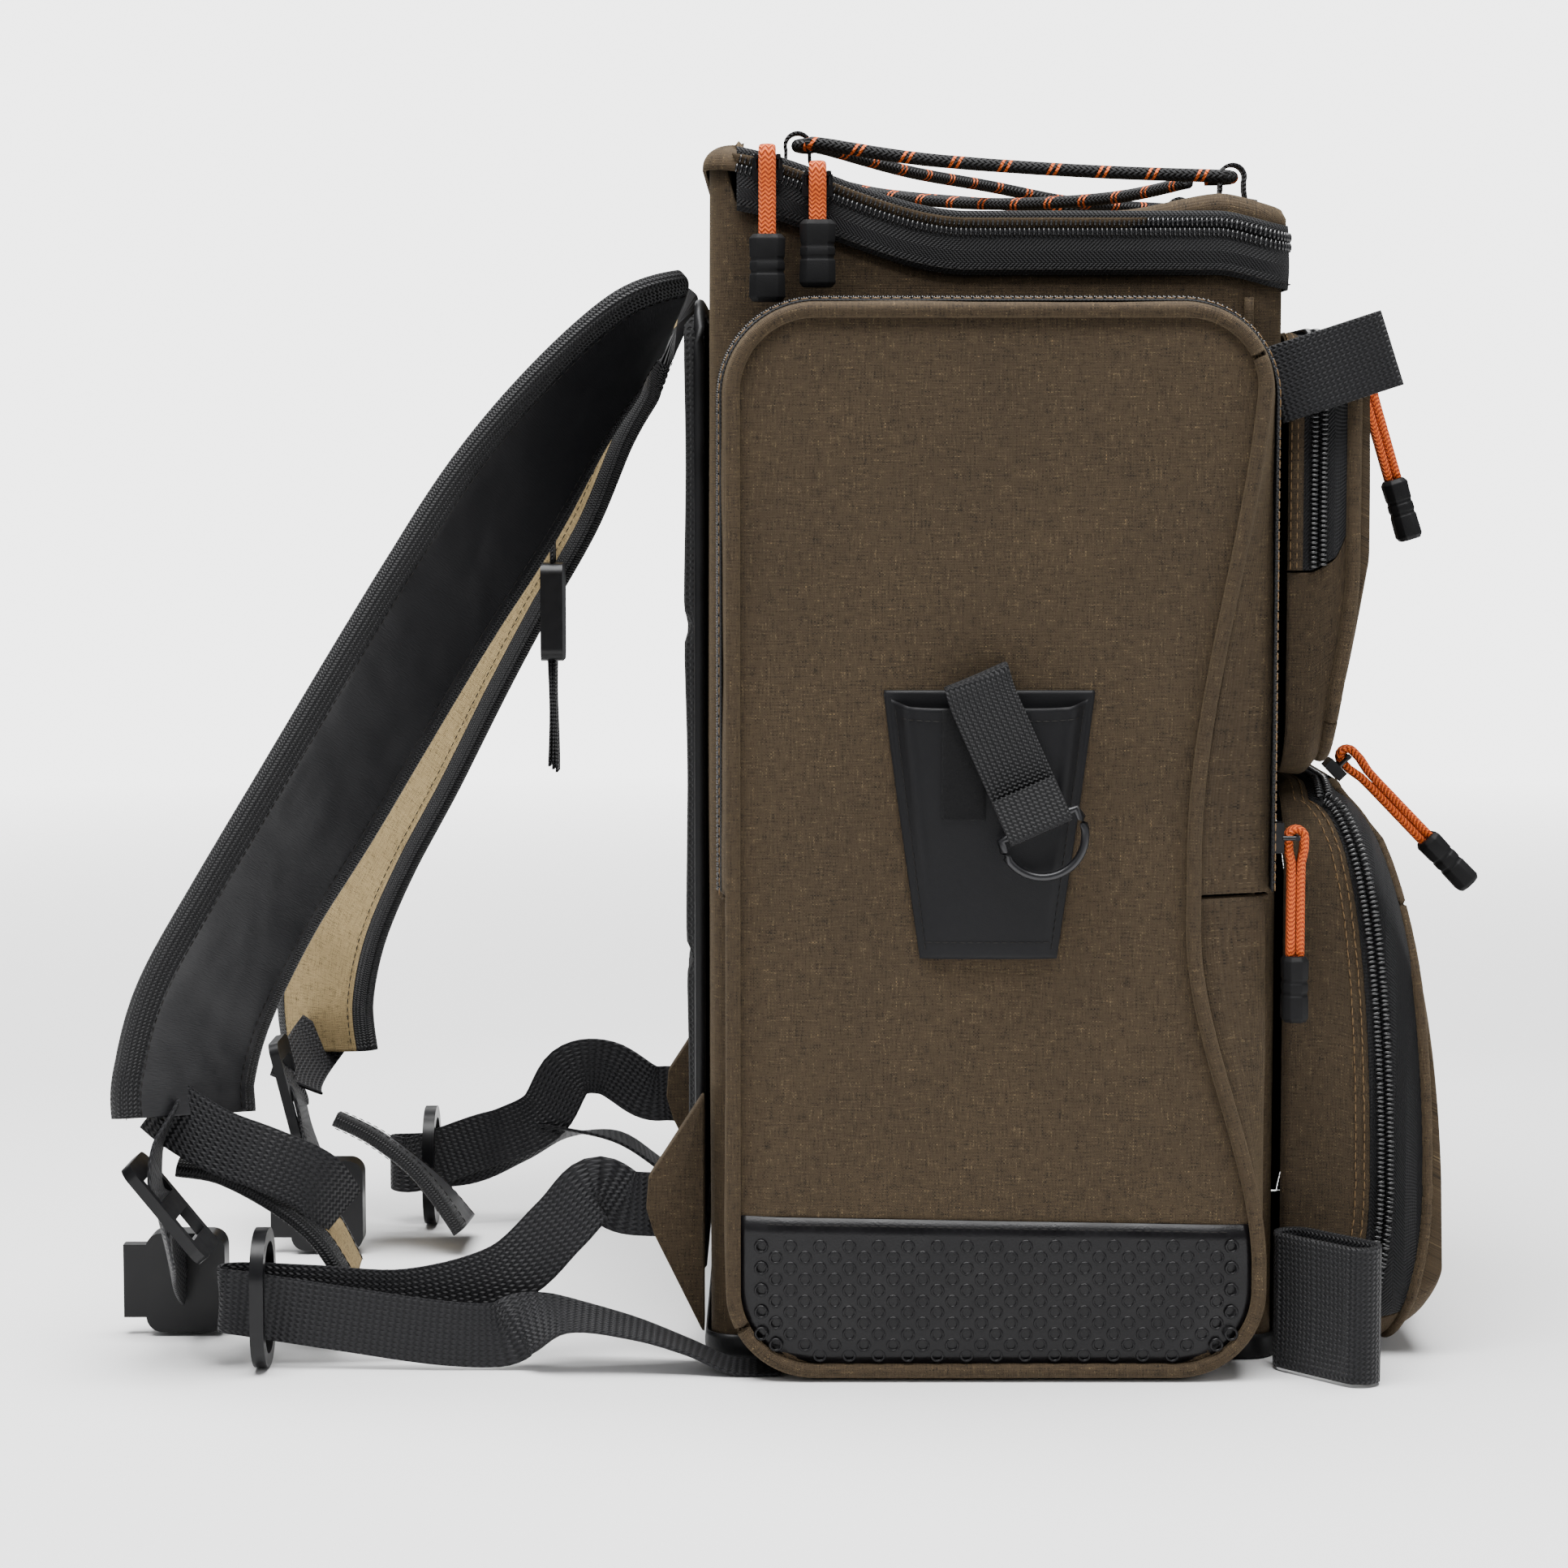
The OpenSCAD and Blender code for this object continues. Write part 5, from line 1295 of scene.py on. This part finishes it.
OUT_LEFT, OUT_FRONT, DOWN = (-1, 0, 0), (0, -1, 0), (0, 0, -1)
pull("lid_pull_a", (-137.7, 83, 439.53), OUT_LEFT, DOWN, 28.5)
pull("lid_pull_b", (-137.7, 65, 433.61), OUT_LEFT, DOWN, 17.5)
pull("side_pull_L", (-145, -107.7, 196), OUT_FRONT, DOWN, 44)
pull("side_pull_R", (145, -107.7, 196), OUT_FRONT, DOWN, 44)
pull("up_pull", (-40, -145.3, 365), (0, -0.958, 0.287), (0, -0.287, -0.958), 44)
pull("low_pull", (-85, -134.7, 220.43), (0, -0.719, 0.695), (0, -0.695, -0.719), 44)

# ---- Lid loops and shock cord
# Four satin webbing loops sewn flat to the lid's corners. A black shock cord with orange tracers
# runs through them along both sides and crosses over the middle of the lid.
LOOP_X, LOOP_Y, LOOP_UP = 94.0, (72.0, -88.0), 8.0
for number, (loop_x, loop_y) in enumerate((x, y) for x in (-LOOP_X, LOOP_X) for y in LOOP_Y):
    level = float(lid_height(np.array([loop_y]))[0])
    bend = np.radians(np.linspace(200, -20, 15))
    eye = np.stack([loop_y + 4.6 * np.cos(bend), level + LOOP_UP + 4.6 * np.sin(bend)], 1)
    feet = np.array([[-9, -1.0], [-5, -0.2], [-4.4, 3.0]])
    profile = np.concatenate([feet + [loop_y, level], eye, feet[::-1] * [-1, 1] + [loop_y, level]])
    route = np.concatenate([np.full((len(profile), 1), loop_x), profile], 1)
    fasten(strap_piece(f"lid_loop_{number}", route, np.broadcast_to([1.0, 0, 0], route.shape), WEBBING,
                       8.5, 1.3),
           LID, "webbing", *(("lid_loops",) if number == 0 else ()))

SHOCK_CORD, tree, shader, axes = braid("black shock cord", "#040404", "#151517", 0.0022)
repeat = calc(tree, "FRACT",
              calc(tree, "MULTIPLY", calc(tree, "ADD", axes[1], calc(tree, "MULTIPLY", axes[0], 0.4)),
                   1 / 0.018))
tick = calc(tree, "ADD", calc(tree, "LESS_THAN", repeat, 0.06),
            calc(tree, "MULTIPLY", calc(tree, "GREATER_THAN", repeat, 0.14),
                 calc(tree, "LESS_THAN", repeat, 0.20)))
plain = shader.inputs["Base Color"].links[0].from_socket
tree.links.new(blend_colour(tree, tick, plain, linear("#d8611f")), shader.inputs["Base Color"])
BUNGEE_D = 4.8
back_up = float(lid_height(np.array([72.0]))[0]) + LOOP_UP
front_up = float(lid_height(np.array([-88.0]))[0]) + LOOP_UP


def turn_at(x, y, z, side, ahead):
    """The half turn that the cord makes through a loop."""
    q = np.radians(np.arange(0, 181, 30))
    return np.stack([x - side * 9 * np.cos(q), y + ahead * 9 * np.sin(q) - ahead * 9, np.full(len(q), z)], 1)


lace = np.concatenate([
    turn_at(-94, -88, front_up, -1, -1), [[-103, -30, 437], [-103, 25, 441]], turn_at(-94, 72, back_up, 1, 1),
    [[-44, 30, 441], [8, -4, 439], [44, -40, 435]], turn_at(94, -88, front_up, 1, -1),
    [[103, -30, 437], [103, 25, 441]], turn_at(94, 72, back_up, -1, 1),
    [[44, 30, 437], [0, -8, 431.5], [-44, -48, 431], [-84, -73, front_up - 1]]])
lace = through(lace, 6)
bungee = tube_piece("lid_shock_cord", lace, BUNGEE_D / 2, SHOCK_CORD, 12)
fasten(bungee, LID, "bungee", "bungee")

# ---- Rod straps and rod loops
# High on each front corner a two-layer hook-and-loop strap; low down a wide webbing loop that
# holds the rod's butt. Both are sewn into the seam between the wall and the front pocket.
UP_DIR = np.array([0, -math.cos(math.radians(18)), math.sin(math.radians(18))])
UP_WIDE = np.array([0, math.sin(math.radians(18)), math.cos(math.radians(18))])
SATIN_WEB = webbing("satin strap", 1.25, 0.0021)
for side, tag in ((-1, "L"), (1, "R")):
    along = np.linspace(0, 45, 16)[:, None]
    for layer, (offset, material) in enumerate(((1.35, SATIN_WEB), (-1.35, HOOK_TAPE))):
        wave = 0.5 * np.sin(along / 45 * 2.2 * math.pi + layer * 0.5) * ease(along / 12)
        route = np.array([side * 131.5, -99, 358.0]) + along * UP_DIR + np.array([side, 0,
                                                                                  0]) * (offset + wave)
        strap = strap_piece(f"rod_strap_{tag}_{layer}", route, np.broadcast_to(UP_WIDE, route.shape),
                            material, 28, 2.0)
        fasten(strap, "rod_strap_" + tag, "webbing", *(("rod_strap_" + tag,) if layer == 0 else ()))
    edge = np.array([side * 133.95, -99, 358.0]) + 9.5 * UP_DIR + np.linspace(-12, 12, 20)[:, None] * UP_WIDE
    fasten(stitch_row(f"rod_strap_stitches_{tag}", edge, np.broadcast_to([side, 0, 0.0], edge.shape),
                      THREAD_DARK),
           "rod_strap_" + tag, "webbing")
    x, y, nx, ny = outline(np.linspace(0, 1, 97)[:-1], 46, 16, 7.9, 0)
    turn = math.radians(41)
    height = np.linspace(1.2, 50.8, 20)[:, None]
    pinch = 1 - 0.10 * np.sin((height - 1) / 50 * math.pi) * (np.abs(x) < 15)[None]
    y = y[None] * pinch
    x = x[None] + 0 * height
    place = np.stack([side * (151 - (x * math.cos(turn) - y * math.sin(turn))),
                      -120 + x * math.sin(turn) + y * math.cos(turn), height + 0 * x], 2)
    girth = np.linspace(0, 115, 96)[None] + 0 * height
    fasten(grid_piece(f"rod_loop_{tag}", place, np.stack([height + 0 * x, girth], 2), SATIN_WEB, around=True,
                      wall=1.7, flip=side > 0), PACK, "webbing", "rod_loop_" + tag)

# ---- Back panel
# Black spacer mesh over thin foam, stitched into channels, sewn to the back wall round its edge.
def spacer_mesh(name):
    """Knitted spacer mesh: rows of small hexagonal holes, painted near black inside as painted shade, between
    lighter ribs.
    """
    made, tree, shader = new_material(name)
    place = put(tree, "ShaderNodeTexCoord").outputs["UV"]
    cell = put(tree, "ShaderNodeTexVoronoi", {"Vector": place, "Scale": 420.0, "Randomness": 0.12})
    hole = put(tree, "ShaderNodeMapRange", {"Value": cell.outputs["Distance"], "From Min": 0.22,
                                            "From Max": 0.42}).outputs[0]
    # The holes are painted darker than the ribs: painted shade where the mesh is open.
    tree.links.new(blend_colour(tree, hole, linear("#030303"), linear("#151516")),
                   shader.inputs["Base Color"])
    shader.inputs["Roughness"].default_value = 0.8
    shader.inputs["Sheen Weight"].default_value = 0.04
    shader.inputs["Specular IOR Level"].default_value = 0.22
    bump = put(tree, "ShaderNodeBump", {"Strength": 0.9, "Distance": 0.0008, "Height": hole})
    tree.links.new(bump.outputs[0], shader.inputs["Normal"])
    return made


SPACER_MESH = spacer_mesh("black spacer mesh")
PANEL_MID = 208.0
share = np.linspace(0, 1, 181)[:-1]
x, z, nx, nz = outline(share, 208, 362, 20)
inward = np.concatenate([np.zeros(3), np.linspace(0, 1, 60)])[:, None]
px, pz = x[None] * (1 - inward), z[None] * (1 - inward)
firm = ease(np.minimum(np.abs(104 - np.abs(px)), np.abs(181 - np.abs(pz))) / 9)
channel = 1 - np.exp(-(px / 5.0) ** 2) * 0.8
CHANNEL_Z, CHANNEL_X, CHANNEL_HALF, CHANNEL_DEEP = 62, 66, 3.5, 0.7
for reach in ((np.abs(pz) - CHANNEL_Z) / CHANNEL_HALF, (np.abs(px) - CHANNEL_X) / CHANNEL_HALF):
    channel = channel * (1 - CHANNEL_DEEP * np.exp(-reach ** 2))
py = HALF_D + 1.4 + 2.4 * firm + 4.6 * firm * channel * (0.8 + 0.2 * ripple(px, pz, 9.0, 70))
py[0], py[1] = HALF_D + 0.35, HALF_D + 0.8
place = np.stack([-px, py, pz + PANEL_MID], 2)
panel = grid_piece("back_panel_mesh", place, np.stack([px, pz], 2), SPACER_MESH, around=True, wall=0.3,
                   weld=True)
fasten(panel, PACK, "mesh", "back_panel")
bind_route = np.stack([-x, np.full(len(x), HALF_D + 2.2), z + PANEL_MID], 1)
fasten(tube_piece("back_panel_binding", bind_route, 2.1, BASE_FABRIC, 10, closed=True), PACK, "mesh")

# ---- Wings and lower webbing
# A padded canvas tab is sewn low into each back corner; the strap's webbing comes out of its tip,
# runs back through the buckle and an oval ring, and its second end is sewn under the pack.
WING = np.array([[106.3, 100], [127, 68], [128, 56], [125, 46], [106.3, 8]])
corner_share = np.linspace(0, 1, 21)[:-1]
ring = np.concatenate([a + (b - a) * corner_share[:, None] for a, b in zip(WING, np.roll(WING, -1, 0))])
ring = (np.roll(ring, 1, 0) + ring * 2 + np.roll(ring, -1, 0)) / 4
centre = ring.mean(0)
for side, tag in ((-1, "L"), (1, "R")):
    theta = np.linspace(-math.pi / 2, math.pi / 2, 25)[:, None]
    size = np.concatenate([np.zeros(1), 0.9 + 0.1 * np.cos(theta[1:-1, 0]) ** 0.5, np.zeros(1)])[:, None,
                                                                                                 None]
    thick = np.concatenate([[-4.4], 4.9 * np.sin(theta[1:-1, 0]), [4.4]])[:, None]
    yz = centre + (ring - centre)[None] * size
    place = np.stack([side * (121 + thick) + 0 * yz[..., 0], yz[..., 0], yz[..., 1]], 2)
    wing = grid_piece("wing_pad_" + tag, place, yz + thick[..., None], CANVAS_PAINTED_SHADE, around=True, weld=True,
                      flip=side < 0)
    fasten(wing, PACK, "canvas", "wing_" + tag)

LOWER_WEBBING = webbing("lower strap webbing", 1.5, 0.0026)
WEB_L = [[-121, 116, 57, 0, 0, 1], [-121, 127, 57, 0, 0, 1], [-121, 136, 58, 0, 0, 1],
         [-123, 147, 63, .1, .2, .9], [-126, 160, 50, .3, .5, .8],
         [-128, 180, 32, 0, 0, 1], [-131, 215, 23, 0, 0, 1], [-134, 250, 25, 0, 0, 1],
         [-134, 272, 26, 0, 0, 1],
         [-136, 282, 26, 0, 0, 1], [-140, 282, 25, 0, 0, 1], [-142, 272, 24, 0, 0, 1],
         [-142, 240, 19, 0, 0, 1],
         [-143, 205, 14, 0, 0, 1], [-143, 182, 13, 0, 0, 1], [-142, 172, 17, .5, 0, .9],
         [-142, 156, 20, .9, 0, .3],
         [-141, 132, 15, 1, 0, .1], [-141, 112, 8, 1, 0, 0], [-142, 96, 1.4, 1, 0, 0],
         [-142, 78, .9, 1, 0, 0]]
WEB_R = [[121, 116, 57, 0, 0, 1], [121, 127, 57, 0, 0, 1], [121, 137, 58, 0, 0, 1],
         [122, 154, 68, 0, .2, .9], [122, 170, 66, 0, .5, .8],
         [121, 181, 48, 0, .3, .9], [119, 196, 40, 0, 0, 1], [117, 210, 36, 0, 0, 1], [116, 236, 27, 0, 0, 1],
         [118, 246, 27, 0, 0, 1], [122, 246, 27, 0, 0, 1], [124, 236, 27, 0, 0, 1], [125, 216, 28, 0, 0, 1],
         [128, 192, 34, -.6, 0, .8], [130, 172, 38, -.9, 0, .3], [131, 150, 36, -1, 0, 0],
         [134, 132, 24, -1, 0, 0],
         [139, 112, 6, -1, 0, 0], [142, 98, 1.2, -1, 0, 0], [142, 82, .9, -1, 0, 0]]
for tag, table in (("L", WEB_L), ("R", WEB_R)):
    line = through(np.array(table, float), 7)
    piece = strap_piece("lower_webbing_" + tag, line[:, :3], line[:, 3:], LOWER_WEBBING)
    fasten(piece, PACK, "webbing", "lower_web_" + tag)

# ---- Shoulder straps
# Curved foam pads covered with black satin nylon on one face and tan canvas on the other, their
# edges bound in ribbed tape. Each carries a padded foot tab, an adjuster, a buckle and a ring.
def satin(name, colour, light):
    """Satin nylon: a tight weave seen only as fine lines, with wide soft creases."""
    made, tree, shader = new_material(name)
    place = put(tree, "ShaderNodeTexCoord").outputs["UV"]
    fine = streaks(tree, place, 300, 2200, 5.5)
    fold = put(tree, "ShaderNodeTexNoise",
               {"Vector": place, "Scale": 26.0, "Detail": 2.0, "Distortion": 0.2}).outputs["Fac"]
    tree.links.new(blend_colour(tree, fine, linear(colour), linear(light)), shader.inputs["Base Color"])
    shader.inputs["Roughness"].default_value = 0.46
    shader.inputs["Sheen Weight"].default_value = 0.04
    shader.inputs["Specular IOR Level"].default_value = 0.22
    shader.inputs["Sheen Roughness"].default_value = 0.3
    shader.inputs["Specular IOR Level"].default_value = 0.45
    height = calc(tree, "ADD", calc(tree, "MULTIPLY", fold, 1.0), calc(tree, "MULTIPLY", fine, 0.05))
    bump = put(tree, "ShaderNodeBump", {"Strength": 0.6, "Distance": 0.004, "Height": height})
    tree.links.new(bump.outputs[0], shader.inputs["Normal"])
    return made


PAD_SATIN = satin("black satin nylon", "#070709", "#161619")
GROSGRAIN = webbing("binding tape", 0.9, 0.0012)
PAD_W, PAD_T = 64.0, 11.0
PAD_L = [[-60, 121, 386, 1, 0, -.3], [-70, 137, 374, 1, -.3, -.4], [-80, 158, 350, .8, -.4, -.4],
         [-90, 182, 315, .7, -.6, -.4], [-98, 205, 279, .7, -.6, -.4], [-105, 226, 244, .7, -.6, -.4],
         [-112, 249, 205, .7, -.6, -.4], [-118, 272, 167, .7, -.6, -.3], [-124, 290, 132, .7, -.7, -.2],
         [-128, 297, 106, .7, -.7, 0], [-130, 297, 92, .7, -.7, 0]]
PAD_R = [[60, 121, 386, -1, 0, -.3], [70, 134, 373, -1, -.3, -.4], [80, 153, 350, -.8, -.4, -.4],
         [90, 174, 315, -.7, -.6, -.4], [98, 195, 279, -.7, -.6, -.4], [105, 214, 244, -.7, -.6, -.4],
         [112, 234, 205, -.7, -.6, -.4], [117, 254, 167, -.7, -.6, -.3], [120, 270, 132, -.7, -.7, -.2],
         [122, 276, 100, -.7, -.7, 0], [121, 274, 76, -.7, -.7, 0]]
TAB_L = [[-109, 300, 75, 1, 0, .2], [-109, 284, 72, 1, 0, .2], [-109, 264, 61, 1, 0, .2],
         [-108, 249, 46, 1, 0, .1],
         [-107, 239, 28, 1, 0, 0]]
TAB_R = [[76, 266, 54, -1, 0, .2], [76, 250, 46, -1, 0, .2], [75, 234, 34, -1, 0, .2],
         [74, 222, 22, -1, 0, .1],
         [73, 212, 9, -1, 0, 0]]
KHAKI = canvas("tan pad canvas", gain=1.0)
for node in KHAKI.node_tree.nodes:
    if node.bl_idname == "ShaderNodeValToRGB":
        for stop, colour in zip(node.color_ramp.elements,
                                ("#4a3f2c", "#8a7753", "#94815b", "#a48f67", "#b39c70")):
            stop.color = linear(colour)


def pad(name, table, width, thick, near, far, per, wrinkle, *nodes, body):
    """A foam strap: flat oval section, two faces, bound edges, with slack wrinkles across it."""
    line = through(np.array(table, float), per)
    section = oval(width - 2, thick - 1.6, 56, 0.28, 0.62)
    rows = len(line)
    run = np.concatenate([[0], np.cumsum(np.linalg.norm(np.diff(line[:, :3], axis=0), axis=1))])
    edge = np.abs(section[:, 0]) > width / 2 - 9
    u, v = section[None, :, 0] + 0 * run[:, None], run[:, None] + 0 * section[None, :, 0]
    slack = wrinkle * (ripple(u, v, 4.0 + width, 34) + 0.6 * ripple(u, v, 12.0, 17)) * np.where(edge, 0.15,
                                                                                                1.0)[None]
    ahead, across, out = frame_of(line[:, :3], line[:, 3:])
    facing = np.sign(section[:, 1])[None]
    place, flat = loft(line[:, :3], line[:, 3:], section, lift=slack * facing)
    split = np.where(edge, 0, np.where(section[:, 1] > 0, 1, 2))
    made = grid_piece(name, place, flat, [GROSGRAIN, near, far], around=True, weld=True, split=split)
    fasten(made, body, "pad", *nodes)
    for way, label in ((1, "a"), (-1, "b")):
        for rail in (-1, 1):
            offset = rail * (width / 2 - 9.8)
            seam = line[1:-1, :3] + offset * across[1:-1] + way * (thick / 2 - 0.55) * out[1:-1]
            fasten(stitch_row(f"{name}_stitches_{label}{rail + 1}", seam, way * out[1:-1], THREAD_DARK,
                              3.4, 2.4, 0.5),
                   body, "pad")
    return line


pad("shoulder_pad_L", PAD_L, PAD_W, PAD_T, PAD_SATIN, KHAKI, 12, 0.5, "strap_pad_L", body="strap_L")
pad("shoulder_pad_R", PAD_R, PAD_W, PAD_T, KHAKI, PAD_SATIN, 12, 0.5, "strap_pad_R", body="strap_R")
pad("strap_tab_pad_L", TAB_L, 46, 8, KHAKI, PAD_SATIN, 10, 0.15, "strap_tab_L", body="strap_L")
pad("strap_tab_pad_R", TAB_R, 46, 8, KHAKI, PAD_SATIN, 10, 0.15, "strap_tab_R", body="strap_R")
LINK_L = [[-131, 306, 97, 0, -.5, .85], [-133, 298, 91, 0, -.5, .85], [-134.5, 284, 83, 0, -.45, .9],
          [-134, 266, 76, 0, -.4, .9], [-125, 250, 66, 0, -.3, .95], [-114, 242, 52, 0, -.2, .95]]
LINK_R = [[121, 276, 84, .3, .5, .8], [112, 281, 77, .3, .5, .8], [97, 284, 71, .3, .6, .7],
          [86, 284, 67, .6, .6, .5]]
DROP_L = [[-130, 300, 94, 1, 0, 0], [-138, 305, 82, 1, 0, 0], [-146, 305, 69, 1, 0, 0],
          [-146, 300, 58, .9, 0, .3],
          [-138, 303, 47, .6, .3, .7], [-120, 305, 38, .3, .2, .9], [-104, 305, 30, .2, .1, 1],
          [-90, 304, 24, .1, 0, 1]]
DROP_R = [[88, 286, 70, 1, 0, 0], [80, 282, 62, 1, 0, 0], [78, 279, 50, 1, 0, 0], [72, 274, 38, 1, 0, 0],
          [68, 270, 30, 1, 0, 0]]
for tag, body, table in (("link_L", "strap_L", LINK_L), ("link_R", "strap_R", LINK_R),
                         ("drop_L", "strap_L", DROP_L),
                         ("drop_R", "strap_R", DROP_R)):
    line = through(np.array(table, float), 7)
    fasten(strap_piece("strap_web_" + tag, line[:, :3], line[:, 3:], LOWER_WEBBING), body, "webbing")
ACETAL = plain_nylon("black acetal", "#08080a", 0.34, 0.25)
for tag in ("L", "R"):
    finish_node("adjuster_" + tag, ACETAL, 1.2)
    finish_node("buckle_" + tag, ACETAL, 2.0)
    finish_node("ring_" + tag, ACETAL, 1.8)
    finish_node("sternum_buckle_" + tag, ACETAL, 1.6)

# ---- Chest strap
# Narrow webbing on each shoulder strap: the right one ends in the buckle's socket and a folded
# tail held by a keeper, the left one in its plug.
drop = np.linspace(0, 1, 8)[:, None]
route = np.array([55, 172, 304.8]) + drop * np.array([0, 0, -15.6])
across_x = np.array([1.0, 0, 0])
fasten(strap_piece("chest_web_R", route, np.broadcast_to(across_x, route.shape), WEBBING, 20, 1.6),
       "chest_R", "webbing",
       "sternum_web_R")
for layer, y_off in enumerate((-1.2, 0.0, 1.2)):
    route = np.array([55, 172 + y_off, 255.0]) + np.linspace(0, 1, 12)[:,
                                                                       None] * np.array([0, 0.0,
                                                                                         -51.8 + layer * 1.2])
    route[:, 1] += 0.4 * np.sin(np.linspace(0, 5, 12) + layer)
    fasten(strap_piece(f"chest_tail_{layer}", route, np.broadcast_to(across_x, route.shape), WEBBING, 18,
                       1.1),
           "chest_R", "webbing")
finish_node("sternum_web_L", WEBBING)
CHEST_ROOT = [[94, 194, 318, -.2, .3, .9], [84, 185.5, 314, -.2, .2, .95], [72, 178, 309, -.1, .1, 1],
              [60, 173, 305, 0, 0, 1], [55, 172, 303.5, 0, 0, 1]]
line = through(np.array(CHEST_ROOT, float), 7)
fasten(strap_piece("chest_web_root_R", line[:, :3], line[:, 3:], WEBBING, 20, 1.6), "strap_R", "webbing")
